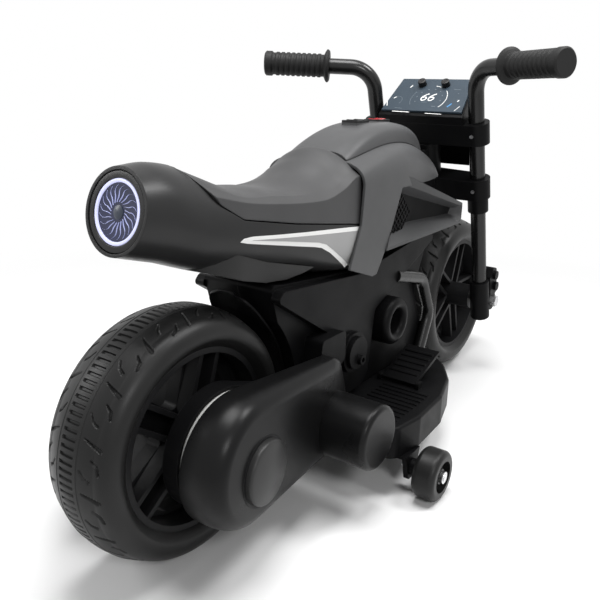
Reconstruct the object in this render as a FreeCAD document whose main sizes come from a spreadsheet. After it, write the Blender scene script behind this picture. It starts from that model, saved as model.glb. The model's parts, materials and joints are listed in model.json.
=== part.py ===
import FreeCAD, Part
import math
import os
from types import SimpleNamespace

from FreeCAD import Placement, Rotation, Vector
import Sketcher

# Kids electric motorbike with training wheels.
# +X is forward, +Y is left, +Z is up; the origin is on the ground, midway between the axles.

doc = FreeCAD.newDocument("kids_motorbike")
sizes = doc.addObject("Spreadsheet::Sheet", "sizes")

# Driving dimensions in millimetres, degrees and counts
DRIVING = (
    ("wheel_base", 605.0, "rear axle to front axle"),
    ("wheel_radius", 125.0, "tyre radius"),
    ("tyre_width", 82.0, "tyre width"),
    ("tyre_crown", 6.0, "rise of the tread crown over its edges"),
    ("tread_half", 28.0, "half width of the tread crown"),
    ("rim_edge_radius", 97.0, "edge of the tyre's side opening"),
    ("rim_seat_radius", 90.0, "seat of the tyre on the rim"),
    ("rim_seat_half", 34.0, "half width of that seat"),
    ("rim_wall", 6.0, "rim barrel wall"),
    ("rim_web", 16.0, "thickness of the spoke web"),
    ("spoke_count", 5, "spokes"),
    ("spoke_gap", 17.0, "between the two ribs of a spoke"),
    ("spoke_rib", 5.0, "rib thickness"),
    ("spoke_depth", 50.0, "rib depth along the axle"),
    ("hub_radius", 19.0, "rim hub radius"),
    ("rear_hub_half", 38.0, "half length of the rear hub"),
    ("front_hub_half", 60.0, "half length of the front hub"),
    ("tread_slots", 60, "slots round the tread"),
    ("tread_slot_width", 2.6, "slot width round the tyre"),
    ("tread_slot_length", 24.0, "slot length across the tyre"),
    ("tread_slot_depth", 2.0, "slot depth"),
    ("axle_radius", 5.0, "both axles"),
    ("axle_end", 96.0, "axle end from the centre plane"),
    ("nut_flats", 16.0, "axle nut across corners, half of it is the corner radius"),
    ("nut_length", 8.0, "axle nut length"),
    ("run_gap", 0.05, "running clearance on shafts"),
    ("fit_gap", 0.4, "gap between shells and between moving faces"),
    ("wall", 3.0, "moulded wall"),
    ("fork_rake", 16.3, "rake of the fork"),
    ("fork_trail", 14.1, "axle ahead of the fork line"),
    ("fork_half", 79.0, "fork tube from the centre plane"),
    ("tube_radius", 11.0, "fork tubes and handlebars"),
    ("stem_radius", 12.0, "steering stem"),
    ("head_radius", 20.0, "head tube"),
    ("lower_clamp_height", 196.0, "lower clamp centre along the fork"),
    ("upper_clamp_height", 278.0, "upper clamp centre along the fork"),
    ("clamp_height", 30.0, "clamp height"),
    ("clamp_radius", 18.0, "clamp round a tube"),
    ("clamp_middle", 22.0, "clamp round the stem"),
    ("clamp_screw_radius", 2.6, "clamp screw head"),
    ("collar_radius", 15.0, "fork collar"),
    ("collar_height", 22.0, "fork collar"),
    ("leg_radius", 15.0, "fork leg socket"),
    ("leg_top", 38.0, "fork leg top above the axle"),
    ("leg_bottom", 28.0, "fork leg bottom below the axle"),
    ("tube_seat", 8.0, "tube end above the axle"),
    ("bar_rise", 366.0, "handlebar corner along the fork"),
    ("bar_bend", 38.0, "handlebar bend radius"),
    ("bar_sweep", 27.8, "handlebar swept back"),
    ("bar_lift", 9.3, "handlebar lifted to its end"),
    ("grip_start", 64.0, "grip flange along the bar from its corner"),
    ("grip_length", 95.0, "grip length"),
    ("grip_radius", 15.5, "grip radius"),
    ("grip_flange", 23.0, "grip flange radius"),
    ("grip_ribs", 9, "ribs on the grip"),
    ("dash_tilt", 24.3, "dash face against the clamps"),
    ("dash_length", 74.0, "dash face length"),
    ("dash_low_half", 66.0, "half width at the dash's lower edge"),
    ("dash_high_half", 58.0, "half width at the dash's upper edge"),
    ("dash_plate", 3.0, "dash face thickness"),
    ("button_radius", 6.0, "dash button"),
    ("button_height", 8.0, "dash button above the face"),
    ("button_spread", 18.5, "dash button from the centre plane"),
    ("button_travel", 2.5, "dash button travel"),
    ("lamp_radius", 36.0, "headlamp lens"),
    ("drive_angle", 11.0, "fall of the gear train to the motor"),
    ("wheel_teeth", 54, "wheel gear"),
    ("pinion_teeth", 12, "each pinion"),
    ("large_teeth", 46, "each large reduction gear"),
    ("heavy_module", 2.0, "wheel gear module"),
    ("light_module", 1.5, "reduction gear module"),
    ("gear_pin_radius", 3.0, "gear pin"),
    ("sleeve_radius", 16.0, "drive sleeve of the wheel gear"),
    ("case_inner_face", 46.0, "inner face of the gearbox from the centre plane"),
    ("case_split", 64.0, "joint of the two gearbox cases"),
    ("case_outer_face", 82.0, "outer face of the gearbox"),
    ("case_rear_radius", 60.0, "gearbox round the axle"),
    ("case_front_radius", 34.0, "gearbox round the motor"),
    ("cover_inner_face", 70.0, "inner edge of the drive cover"),
    ("cover_outer_face", 106.0, "outer face of the drive cover"),
    ("cover_round", 18.0, "edge of the drive cover"),
    ("cover_nose_radius", 26.0, "upper front end of the drive cover"),
    ("cover_nose_reach", 147.0, "that end ahead of the rear axle"),
    ("cover_nose_rise", 24.0, "that end above the rear axle"),
    ("cap_radius", 31.5, "hub cap"),
    ("cap_rise", 12.0, "hub cap dome"),
    ("motor_radius", 18.0, "motor can"),
    ("motor_length", 57.0, "motor can"),
    ("motor_shaft", 1.6, "motor shaft radius"),
    ("pod_radius", 36.0, "motor pod"),
    ("pod_end", 147.0, "motor pod end from the centre plane"),
    ("fender_radius", 134.0, "inside of the rear fender"),
    ("fender_half", 36.0, "half width of the rear fender"),
    ("body_half", 46.0, "half width of the body core"),
    ("cheek_face", 58.0, "outer face of the body's side frame"),
    ("spine_half", 32.0, "half width of the body under the tank"),
    ("battery_length", 70.0, "battery along X"),
    ("battery_width", 47.0, "battery along Y"),
    ("battery_height", 101.0, "battery along Z"),
    ("port_radius", 20.0, "charge port disc"),
    ("port_hole", 3.2, "charge socket"),
    ("port_depth", 10.0, "charge socket"),
    ("ring_radius", 31.0, "engine ring cover"),
    ("ring_bore", 16.0, "engine ring cover"),
    ("ring_face", 72.0, "its outer face from the centre plane"),
    ("loop_radius", 8.5, "bent frame tube"),
    ("loop_side", 54.0, "bent frame tube from the centre plane"),
    ("board_top", 86.0, "footboard top"),
    ("board_bottom", 48.0, "footboard bottom"),
    ("board_reach", 150.0, "footboard edge from the centre plane"),
    ("pedal_width", 48.0, "pedal"),
    ("pedal_length", 66.0, "pedal"),
    ("pedal_slope", 18.0, "pedal slope at rest"),
    ("pedal_pin_radius", 3.0, "pedal pivot"),
    ("small_wheel_radius", 29.5, "training wheel"),
    ("small_wheel_width", 28.0, "training wheel"),
    ("small_wheel_face", 191.0, "its outer face from the centre plane"),
    ("small_wheel_back", 80.0, "its axle behind the middle of the wheelbase"),
    ("small_bolt_radius", 4.0, "training wheel bolt"),
    ("seat_wall", 4.0, "seat wall"),
    ("lens_thickness", 4.0, "tail lens"),
    ("tail_radius", 37.7, "tail end"),
    ("tail_height", 346.0, "tail end centre"),
    ("tail_reach", 55.5, "tail end behind the rear axle"),
    ("rocker_length", 20.0, "rocker switch"),
    ("rocker_width", 14.0, "rocker switch"),
    ("rocker_pin", 1.5, "rocker pivot"),
)
for row, (name, value, note) in enumerate(DRIVING, start=1):
    sizes.set(f"A{row}", name)
    sizes.set(f"B{row}", str(value))
    sizes.setAlias(f"B{row}", name)
    sizes.set(f"C{row}", note)
doc.recompute()
S = SimpleNamespace(**{name: float(sizes.get(name)) for name, _, _ in DRIVING})

# Places that follow from the driving dimensions
REAR_X = -S.wheel_base / 2
FRONT_X = S.wheel_base / 2
AXLE_Z = S.wheel_radius
REAR_AXLE = Vector(REAR_X, 0, AXLE_Z)
FRONT_AXLE = Vector(FRONT_X, 0, AXLE_Z)
FORK = Placement(Vector(FRONT_X - S.fork_trail, 0, AXLE_Z), Rotation(Vector(0, 1, 0), -S.fork_rake))
RIGHT = -1
LEFT = 1
Y_AXIS = Vector(0, 1, 0)
FULL_TURN = 360.0


def named(text):
    """Write a formula of sheet names as an expression for a document object."""
    words = []
    word = ""
    for letter in text + " ":
        if letter.isalnum() or letter == "_":
            word += letter
            continue
        words.append(f"sizes.{word}" if word and not word[0].isdigit() else word)
        words.append(letter)
        word = ""
    return "".join(words).strip()


def number(text):
    """Work out a formula of sheet names."""
    return float(sizes.evalExpression(text))


# Outlines: every function here gives a closed list of lines and arcs in a sketch's own plane
def line(start, end):
    return Part.LineSegment(Vector(start[0], start[1], 0), Vector(end[0], end[1], 0))


def arc(start, middle, end):
    return Part.Arc(*(Vector(x, y, 0) for x, y in (start, middle, end)))


def polygon(points):
    return [line(a, b) for a, b in zip(points, points[1:] + points[:1])]


def rounded(points, radius):
    """Polygon with every corner rounded, less where its two sides are too short."""
    corners = []
    count = len(points)
    for index, corner in enumerate(points):
        here = Vector(corner[0], corner[1], 0)
        before = Vector(*points[index - 1], 0) - here
        after = Vector(*points[(index + 1) % count], 0) - here
        half = before.getAngle(after) / 2
        reach = min(radius / math.tan(half), 0.45 * before.Length, 0.45 * after.Length)
        first = here + before.normalize() * reach
        last = here + after.normalize() * reach
        bisector = (before + after).normalize()
        depth = reach / math.cos(half) - reach * math.tan(half)
        corners.append((first, here + bisector * depth, last))
    outline = []
    for index, (first, middle, last) in enumerate(corners):
        outline.append(Part.Arc(first, middle, last))
        outline.append(Part.LineSegment(last, corners[(index + 1) % count][0]))
    return outline


def around(circles):
    """Belt line round circles (x, y, radius) that are given counter-clockwise."""
    normals = []
    count = len(circles)
    for index, (x, y, radius) in enumerate(circles):
        x_next, y_next, radius_next = circles[(index + 1) % count]
        run = Vector(x_next - x, y_next - y, 0)
        share = (radius - radius_next) / run.Length
        run.normalize()
        side = Vector(run.y, -run.x, 0)
        normals.append(run * share + side * math.sqrt(1 - share * share))
    outline = []
    for index, (x, y, radius) in enumerate(circles):
        x_next, y_next, radius_next = circles[(index + 1) % count]
        start = math.atan2(normals[index - 1].y, normals[index - 1].x)
        end = math.atan2(normals[index].y, normals[index].x)
        if end < start:
            end += 2 * math.pi
        turn = [(x + radius * math.cos(a), y + radius * math.sin(a)) for a in (start, (start + end) / 2, end)]
        outline.append(arc(*turn))
        outline.append(line(turn[-1], (x_next + radius_next * normals[index].x,
                                       y_next + radius_next * normals[index].y)))
    return outline


class Round:
    """A circle whose radius follows a formula of sheet names."""

    def __init__(self, x, y, radius):
        self.x = x
        self.y = y
        self.radius = radius


class Piece:
    """One moulded or machined piece: a body with its sketches and features."""

    def __init__(self, label, placement=None):
        self.body = doc.addObject("PartDesign::Body", label)
        self.body.Label = label
        if placement is not None:
            self.body.Placement = placement

    def origin(self, role):
        return next(item for item in self.body.Origin.OriginFeatures if item.Role == role)

    def sketch(self, plane, outline, offset=0.0):
        drawing = self.body.newObject("Sketcher::SketchObject", "outline")
        drawing.AttachmentSupport = (self.origin(plane), [""])
        drawing.MapMode = "FlatFace"
        drawing.AttachmentOffset = Placement(Vector(0, 0, offset), Rotation())
        for item in outline:
            if isinstance(item, Round):
                value = number(item.radius)
                index = drawing.addGeometry(Part.Circle(Vector(item.x, item.y, 0), Vector(0, 0, 1), value))
                rule = drawing.addConstraint(Sketcher.Constraint("Radius", index, value))
                drawing.setExpression(f"Constraints[{rule}]", named(item.radius))
            else:
                drawing.addGeometry(item)
        return drawing

    def pad(self, plane, outline, offset, length, reverse=False):
        """Raise an outline by a formula of sheet names, along the plane's normal."""
        feature = self.body.newObject("PartDesign::Pad", "pad")
        feature.Profile = self.sketch(plane, outline, offset)
        feature.setExpression("Length", named(length))
        feature.Reversed = reverse
        return feature

    def pocket(self, plane, outline, offset, length, reverse=False):
        """Cut an outline by a formula of sheet names, against the plane's normal."""
        feature = self.body.newObject("PartDesign::Pocket", "pocket")
        feature.Profile = self.sketch(plane, outline, offset)
        feature.setExpression("Length", named(length))
        feature.Reversed = reverse
        return feature

    def revolve(self, plane, outline, axis="V_Axis"):
        feature = self.body.newObject("PartDesign::Revolution", "revolution")
        drawing = self.sketch(plane, outline)
        feature.Profile = drawing
        feature.ReferenceAxis = (drawing, [axis])
        feature.Angle = FULL_TURN
        return feature

    def polar(self, features, axis, count):
        pattern = self.body.newObject("PartDesign::PolarPattern", "pattern")
        pattern.Originals = features
        pattern.Axis = (self.origin(axis), [""])
        pattern.Angle = FULL_TURN
        pattern.setExpression("Occurrences", named(count))
        self.body.Tip = pattern
        return pattern

    def round_edges(self, radius, chosen):
        """Fillet the edges that a test picks out."""
        doc.recompute()
        base = self.body.Tip
        names = [f"Edge{n}" for n, edge in enumerate(base.Shape.Edges, start=1) if chosen(edge)]
        feature = self.body.newObject("PartDesign::Fillet", "fillet")
        feature.Base = (base, names)
        feature.setExpression("Radius", named(radius))
        return feature


def at_level(axis, value):
    """Test for edges that lie in one plane square to an axis."""
    low = f"{axis}Min"
    high = f"{axis}Max"

    def chosen(edge):
        box = edge.BoundBox
        return abs(getattr(box, low) - value) < 1e-3 and abs(getattr(box, high) - value) < 1e-3

    return chosen


pieces = []


def keep(item):
    """Count a document object as a finished piece of the motorbike."""
    pieces.append(item)
    return item


def mirrored(source, label):
    """The left-hand twin of a right-hand piece."""
    twin = doc.addObject("Part::Mirroring", label)
    twin.Label = label
    twin.Source = source
    twin.Normal = Y_AXIS
    return twin


def group(label, members):
    """Loose pieces that share one name."""
    compound = doc.addObject("Part::Compound", label)
    compound.Label = label
    compound.Links = members
    return keep(compound)


def shaped(label, shape, placement=None):
    """A piece that is lofted, swept or cut to fit its neighbours."""
    feature = doc.addObject("Part::Feature", label)
    feature.Shape = shape
    feature.Label = label
    if placement is not None:
        feature.Placement = placement
    return feature


def rod(label, radius, start, length, axis=Y_AXIS):
    """A round bar with its radius and length bound to formulas of sheet names."""
    bar = doc.addObject("Part::Cylinder", label)
    bar.Label = label
    bar.setExpression("Radius", named(radius))
    bar.setExpression("Height", named(length))
    bar.Placement = Placement(start, Rotation(Vector(0, 0, 1), axis))
    return bar


def cylinder(radius, start, end):
    return Part.makeCylinder(radius, (end - start).Length, start, end - start)


def prism(outline, direction, plane=None):
    """Solid from a flat outline: the outline's plane is placed, then swept straight."""
    face = Part.Face(Part.Wire(Part.sortEdges([item.toShape() for item in outline])[0]))
    if plane is not None:
        face.Placement = plane
    return face.extrude(direction)


SIDE_VIEW = Placement(Vector(0, 0, 0), Rotation(Vector(1, 0, 0), 90))


def side_prism(outline, y_start, y_end):
    """Solid from an outline drawn in X and Z, between two distances across the motorbike."""
    plane = Placement(Vector(0, y_start, 0), SIDE_VIEW.Rotation)
    return prism(outline, Vector(0, y_end - y_start, 0), plane)


def nut(label, axle, y_start, y_end):
    """Hexagon nut on an axle."""
    corner = S.nut_flats / 2 / math.cos(math.pi / 6)
    corners = [(axle.x + corner * math.cos(n * math.pi / 3), axle.z + corner * math.sin(n * math.pi / 3))
               for n in range(6)]
    hexagon = side_prism(polygon(corners), y_start, y_end)
    hole = cylinder(S.axle_radius, Vector(axle.x, y_start, axle.z), Vector(axle.x, y_end, axle.z))
    return shaped(label, hexagon.cut(hole))


# Wheels
def make_tyre(label, axle):
    tyre = Piece(label, Placement(axle, Rotation()))
    half = S.tyre_width / 2
    tread_edge = S.wheel_radius - S.tyre_crown
    shoulder = ((S.rim_edge_radius + tread_edge) / 2 + 3, half - 1)
    outline = [
        line((S.rim_seat_radius, -S.rim_seat_half), (S.rim_edge_radius, -half)),
        arc((S.rim_edge_radius, -half), (shoulder[0], -shoulder[1]), (tread_edge, -S.tread_half)),
        arc((tread_edge, -S.tread_half), (S.wheel_radius, 0), (tread_edge, S.tread_half)),
        arc((tread_edge, S.tread_half), shoulder, (S.rim_edge_radius, half)),
        line((S.rim_edge_radius, half), (S.rim_seat_radius, S.rim_seat_half)),
        line((S.rim_seat_radius, S.rim_seat_half), (S.rim_seat_radius, -S.rim_seat_half)),
    ]
    tyre.revolve("XY_Plane", outline)
    slot = tyre.body.newObject("PartDesign::SubtractiveBox", "slot")
    slot.setExpression("Length", named("2 * tread_slot_depth"))
    slot.setExpression("Width", named("tread_slot_length"))
    slot.setExpression("Height", named("tread_slot_width"))
    slot.Placement = Placement(Vector(S.wheel_radius - S.tread_slot_depth, -S.tread_slot_length / 2,
                                      -S.tread_slot_width / 2), Rotation())
    tyre.polar([slot], "Y_Axis", "tread_slots")
    return keep(tyre.body)


def make_rim(label, axle, hub_half):
    rim = Piece(label, Placement(axle, Rotation()))
    bore = S.axle_radius + S.run_gap
    seat = S.rim_seat_radius
    inside = seat - S.rim_wall
    web = S.rim_web / 2
    half = S.rim_seat_half
    profile = [(bore, -hub_half), (S.hub_radius, -hub_half), (S.hub_radius, -web), (inside, -web),
               (inside, -half), (seat, -half), (seat, half), (inside, half), (inside, web),
               (S.hub_radius, web), (S.hub_radius, hub_half), (bore, hub_half)]
    rim.revolve("XY_Plane", polygon(profile))
    near = S.hub_radius - 2
    far = inside + 2
    for side in (-1, 1):
        low = side * S.spoke_gap / 2
        high = low + side * S.spoke_rib
        rib = rim.pad("XZ_Plane", polygon([(near, low), (far, low), (far, high), (near, high)]),
                      -S.spoke_depth / 2, "spoke_depth")
        rim.polar([rib], "Y_Axis", "spoke_count")
    spoke_half = S.spoke_gap / 2 + S.spoke_rib
    step = 2 * math.pi / S.spoke_count
    inner = S.hub_radius + 9
    outer = inside - 5
    inner_half = step / 2 - math.asin(spoke_half / inner) if spoke_half < inner else 0.02
    outer_half = step / 2 - math.asin((spoke_half + 3) / outer)
    inner_half = max(inner_half, 0.06)
    corners = [(radius * math.cos(step / 2 + angle), radius * math.sin(step / 2 + angle))
               for radius, angle in ((inner, -inner_half), (outer, -outer_half),
                                     (outer + 2, 0.0), (outer, outer_half), (inner, inner_half))]
    window = rim.pocket("XZ_Plane", rounded(corners, 7.0), -S.rim_web, "2 * rim_web", reverse=True)
    rim.polar([window], "Y_Axis", "spoke_count")
    return keep(rim.body)


make_tyre("rear_tyre", REAR_AXLE)
make_rim("rear_rim", REAR_AXLE, S.rear_hub_half)
make_tyre("front_tyre", FRONT_AXLE)
make_rim("front_rim", FRONT_AXLE, S.front_hub_half)
keep(rod("rear_axle", "axle_radius", Vector(REAR_X, -S.axle_end, AXLE_Z), "2 * axle_end"))
FRONT_AXLE_END = S.fork_half + S.leg_radius + S.nut_length
keep(rod("front_axle", "axle_radius", Vector(FRONT_X, -FRONT_AXLE_END, AXLE_Z),
         "2 * (fork_half + leg_radius + nut_length)"))
group("rear_axle_nuts", [
    nut("rear_nut_right", REAR_AXLE, -S.case_outer_face - S.nut_length, -S.case_outer_face),
    nut("rear_nut_left", REAR_AXLE, S.case_outer_face, S.case_outer_face + S.nut_length)])

# Gear train from the motor to the rear wheel
PRESSURE_ANGLE = math.radians(25)
ADDENDUM = 0.9
DEDENDUM = 1.2
TOOTH_SLACK = 0.14
FLANK_STEPS = 3
TRAIN = Vector(math.cos(math.radians(S.drive_angle)), 0, -math.sin(math.radians(S.drive_angle)))
SECOND_AXIS = REAR_AXLE + TRAIN * (S.heavy_module * (S.wheel_teeth + S.pinion_teeth) / 2)
LIGHT_STEP = S.light_module * (S.large_teeth + S.pinion_teeth) / 2
FIRST_AXIS = SECOND_AXIS + TRAIN * LIGHT_STEP
MOTOR_AXIS = FIRST_AXIS + TRAIN * LIGHT_STEP
TRAIN_TURN = -math.radians(S.drive_angle)


def involute(angle):
    return math.tan(angle) - angle


def gear(axis, teeth, module, phase, y_start, y_end):
    """Spur gear with involute flanks; a tooth is centred at the phase angle."""
    teeth = int(teeth)
    pitch = module * teeth / 2
    base = pitch * math.cos(PRESSURE_ANGLE)
    tip = pitch + ADDENDUM * module
    root = pitch - DEDENDUM * module
    half = (math.pi * module / 2 - TOOTH_SLACK * module) / (2 * pitch)
    start = max(base, root + 0.05 * module)
    flank = []
    for n in range(FLANK_STEPS + 1):
        radius = start + (tip - start) * n / FLANK_STEPS
        flank.append((radius, half + involute(PRESSURE_ANGLE) - involute(math.acos(base / radius))))
    side = [(root, flank[0][1])] + flank
    points = []
    for tooth in range(teeth):
        middle = phase + 2 * math.pi * tooth / teeth
        for radius, angle in [(r, -a) for r, a in side] + side[::-1]:
            points.append((axis.x + radius * math.cos(middle + angle), axis.z + radius * math.sin(middle + angle)))
    return side_prism(polygon(points), y_start, y_end)


def meshed(phase, teeth, other_teeth, direction):
    """Phase of a gear that meshes with one at the given phase, along a direction from it."""
    return direction + math.pi - (teeth * (phase - direction) + math.pi) / other_teeth


def bored(shape, axis, radius, y_start, y_end):
    return shape.cut(cylinder(radius, Vector(axis.x, y_start, axis.z), Vector(axis.x, y_end, axis.z)))


def hub(axis, radius, y_start, y_end):
    return cylinder(radius, Vector(axis.x, y_start, axis.z), Vector(axis.x, y_end, axis.z))


CAVITY_INNER = -(S.case_inner_face + S.wall)
CAVITY_OUTER = -(S.case_outer_face - S.wall)
HEAVY_ROW = (CAVITY_INNER - 13.0, CAVITY_INNER - 3.0)
LARGE_ROW = (HEAVY_ROW[0] - 9.0, HEAVY_ROW[0] - 3.0)
MOTOR_ROW = (CAVITY_OUTER + 1.0, LARGE_ROW[0] - 2.0)
SPACER_RADIUS = S.gear_pin_radius + 3.0
wheel_phase = 0.0
second_pinion_phase = meshed(wheel_phase, S.wheel_teeth, S.pinion_teeth, TRAIN_TURN)
first_pinion_phase = meshed(0.0, S.large_teeth, S.pinion_teeth, TRAIN_TURN)
motor_phase = meshed(0.0, S.large_teeth, S.pinion_teeth, TRAIN_TURN)

wheel_gear = gear(REAR_AXLE, S.wheel_teeth, S.heavy_module, wheel_phase, *HEAVY_ROW)
wheel_gear = wheel_gear.fuse(hub(REAR_AXLE, S.sleeve_radius, HEAVY_ROW[1], -S.rear_hub_half))
keep(shaped("wheel_gear", bored(wheel_gear.removeSplitter(), REAR_AXLE, S.axle_radius + S.run_gap,
                                HEAVY_ROW[0] - 1, -S.rear_hub_half + 1)))


def compound_gear(label, axis, pinion_module, pinion_phase, pinion_row, large_row):
    """Pinion and large gear moulded together, with spacers that keep them off the case."""
    ends = (CAVITY_OUTER + S.fit_gap, CAVITY_INNER - S.fit_gap)
    solid = gear(axis, S.pinion_teeth, pinion_module, pinion_phase, *pinion_row)
    solid = solid.fuse(gear(axis, S.large_teeth, S.light_module, 0.0, *large_row))
    solid = solid.fuse(hub(axis, SPACER_RADIUS, *ends)).removeSplitter()
    return keep(shaped(label, bored(solid, axis, S.gear_pin_radius + S.run_gap, ends[0] - 1, ends[1] + 1)))


compound_gear("reduction_gear_second", SECOND_AXIS, S.heavy_module, second_pinion_phase,
              (LARGE_ROW[1] - 0.5, HEAVY_ROW[1]), LARGE_ROW)
compound_gear("reduction_gear_first", FIRST_AXIS, S.light_module, first_pinion_phase,
              (MOTOR_ROW[1] - 0.5, LARGE_ROW[1]), MOTOR_ROW)
SHAFT_END = -(S.case_outer_face + 14.0)
motor_pinion = gear(MOTOR_AXIS, S.pinion_teeth, S.light_module, motor_phase, *MOTOR_ROW)
keep(shaped("motor_pinion", motor_pinion.fuse(hub(MOTOR_AXIS, S.motor_shaft, SHAFT_END, MOTOR_ROW[1]))))
PIN_LENGTH = "case_outer_face - case_inner_face"
group("gear_pins", [rod(f"gear_pin_{name}", "gear_pin_radius", Vector(axis.x, -S.case_outer_face, axis.z), PIN_LENGTH)
                    for name, axis in (("first", FIRST_AXIS), ("second", SECOND_AXIS))])

MOTOR_END = (MOTOR_AXIS.x, MOTOR_AXIS.z, S.case_front_radius)
INNER_BELT = [(REAR_X, AXLE_Z, S.case_rear_radius), MOTOR_END]
OUTER_BELT = [(REAR_X, AXLE_Z, S.case_rear_radius - S.wall - S.fit_gap), MOTOR_END]
MOTOR_BOSS = "motor_radius / 3"


def inside_belt(belt, wall):
    return [(x, z, radius - wall) for x, z, radius in belt]


def make_case(label, belt, near, far, floor, holes):
    """Half of the gearbox between two distances from the centre plane, hollow from the split."""
    case = Piece(label)
    case.pad("XZ_Plane", around(belt), number(near), f"{far} - {near}")
    cavity = around(inside_belt(belt, S.wall))
    if floor == "near":
        case.pocket("XZ_Plane", cavity, number(far), f"{far} - {near} - wall")
    else:
        case.pocket("XZ_Plane", cavity, number(near), f"{far} - {near} - wall", reverse=True)
    for axis, radius in holes:
        case.pocket("XZ_Plane", [Round(axis.x, axis.z, radius)], number(far), f"{far} - {near}")
    return keep(case.body)


PIN_HOLES = [(FIRST_AXIS, "gear_pin_radius"), (SECOND_AXIS, "gear_pin_radius")]
make_case("gearbox_inner_case", INNER_BELT, "case_inner_face", "case_split", "near",
          PIN_HOLES + [(REAR_AXLE, "sleeve_radius + fit_gap")])
make_case("gearbox_outer_case", OUTER_BELT, "case_split", "case_outer_face", "far",
          PIN_HOLES + [(REAR_AXLE, "axle_radius"), (MOTOR_AXIS, f"{MOTOR_BOSS} + fit_gap")])

motor = Piece("drive_motor", Placement(Vector(MOTOR_AXIS.x, -S.case_outer_face, MOTOR_AXIS.z), Rotation()))
motor_bore = S.motor_shaft + S.run_gap
boss = number(MOTOR_BOSS)
motor.revolve("XY_Plane", polygon([
    (motor_bore, S.wall), (boss, S.wall), (boss, 0), (S.motor_radius, 0), (S.motor_radius, 3 - S.motor_length),
    (S.motor_radius - 3, -S.motor_length), (boss, -S.motor_length), (boss, -S.motor_length - 3),
    (motor_bore, -S.motor_length - 3)]))
keep(motor.body)

pod = Piece("motor_pod")
pod.pad("XZ_Plane", [Round(MOTOR_AXIS.x, MOTOR_AXIS.z, "pod_radius")], S.case_outer_face, "pod_end - case_outer_face")
pod.pocket("XZ_Plane", [Round(MOTOR_AXIS.x, MOTOR_AXIS.z, "pod_radius - wall")], S.case_outer_face,
           "pod_end - case_outer_face - wall", reverse=True)
pod.round_edges("2 * wall", at_level("Y", -S.pod_end))
keep(pod.body)

# Covers beside the rear wheel
NOSE = (REAR_X + S.cover_nose_reach, AXLE_Z + S.cover_nose_rise, S.cover_nose_radius)
COVER_BELT = [(REAR_X, AXLE_Z, S.case_rear_radius),
              (MOTOR_AXIS.x, MOTOR_AXIS.z, S.case_front_radius + S.fit_gap + S.wall), NOSE]


NUT_ROOM = "nut_flats / 2 + 2.5"


def make_cover(label):
    """Hollow cover in two steps that follow its rounded edge."""
    cover = Piece(label)
    cover.pad("XZ_Plane", around(COVER_BELT), S.cover_inner_face, "cover_outer_face - cover_inner_face")
    cover.round_edges("cover_round", at_level("Y", -S.cover_outer_face))
    cover.pocket("XZ_Plane", around(inside_belt(COVER_BELT, S.wall)), S.cover_inner_face,
                 "cover_outer_face - cover_inner_face - cover_round", reverse=True)
    cover.pocket("XZ_Plane", around(inside_belt(COVER_BELT, S.cover_round)), S.cover_inner_face,
                 "cover_outer_face - cover_inner_face - wall", reverse=True)
    return cover


drive_cover = make_cover("drive_cover")
drive_cover.pocket("XZ_Plane", [Round(MOTOR_AXIS.x, MOTOR_AXIS.z, "pod_radius + fit_gap")], S.cover_outer_face,
                   "cover_outer_face - case_outer_face + fit_gap")
drive_cover.pocket("XZ_Plane", [Round(REAR_X, AXLE_Z, NUT_ROOM)], S.cover_outer_face, "2 * wall")
keep(drive_cover.body)

arm = make_cover("arm_cover_right_hand")
arm.pad("XZ_Plane", [Round(REAR_X, AXLE_Z, f"{NUT_ROOM} + wall"), Round(REAR_X, AXLE_Z, "axle_radius")],
        S.rear_hub_half + 1, "cover_outer_face - wall / 2 - rear_hub_half - 1")
arm.pocket("XZ_Plane", [Round(REAR_X, AXLE_Z, NUT_ROOM)], S.cover_outer_face, "cover_outer_face - case_outer_face")
keep(mirrored(arm.body, "arm_cover"))

CAP_RIM = (S.cap_radius, 4 - S.cap_rise)
cap = Piece("hub_cap_right", Placement(Vector(REAR_X, -S.cover_outer_face, AXLE_Z), Rotation()))
cap.revolve("XY_Plane", [
    line((0, 0), (0, -S.cap_rise)), arc((0, -S.cap_rise), (S.cap_radius * 0.6, 1.3 - S.cap_rise), CAP_RIM),
    line(CAP_RIM, (S.cap_radius, 0)), line((S.cap_radius, 0), (0, 0))])
group("hub_caps", [cap.body, mirrored(cap.body, "hub_cap_left")])

# Body: two half shells round the battery, with a side frame that carries the panels
FENDER_OUTER = S.fender_radius + S.wall
HEAD_LOW = S.lower_clamp_height + S.clamp_height / 2 + 1
HEAD_HIGH = S.upper_clamp_height - S.clamp_height / 2 - 1


def fork_point(x, y, z):
    """A place given in the fork's own frame, along the steering axis."""
    return FORK.multVec(Vector(x, y, z))


head_low = fork_point(0, 0, HEAD_LOW)
head_high = fork_point(0, 0, HEAD_HIGH)
SPINE_FRONT = head_low.x - 42
CORE = [(-150, 44), (105, 44), (138, 70), (138, 125), (112, 180), (145, 248), (SPINE_FRONT - 15, 262),
        (-30, 262), (-66, 243), (-190, 254), (-212, 258)]
TANK_HEM = 334.0
SPINE = [(-60, 262), (SPINE_FRONT - 15, 262), (SPINE_FRONT, 300), (SPINE_FRONT, TANK_HEM), (-60, TANK_HEM)]
FRAME = [(-112, 178), (-214, 243), (-205, 252), (-60, 240), (118, 262), (145, 252), (-18, 186), (-30, 108),
         (-45, 94), (-108, 94)]
ARM_ROOT = [(-160, 136), (-128, 136), (-104, 152), (-104, 186), (-150, 186)]
BATTERY_LOW = Vector(-62, -S.battery_width / 2, 112)
PORT = Vector(-72, -(S.cheek_face + 6), 147)
BOSS_RADIUS = S.port_radius + 5
wheel_room = cylinder(FENDER_OUTER, Vector(REAR_X, -200, AXLE_Z), Vector(REAR_X, 200, AXLE_Z))
battery_room = Part.makeBox(S.battery_length + 2 * S.fit_gap, S.battery_width + 2 * S.fit_gap,
                            S.battery_height + S.fit_gap,
                            BATTERY_LOW - Vector(S.fit_gap, S.fit_gap, 0))
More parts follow.
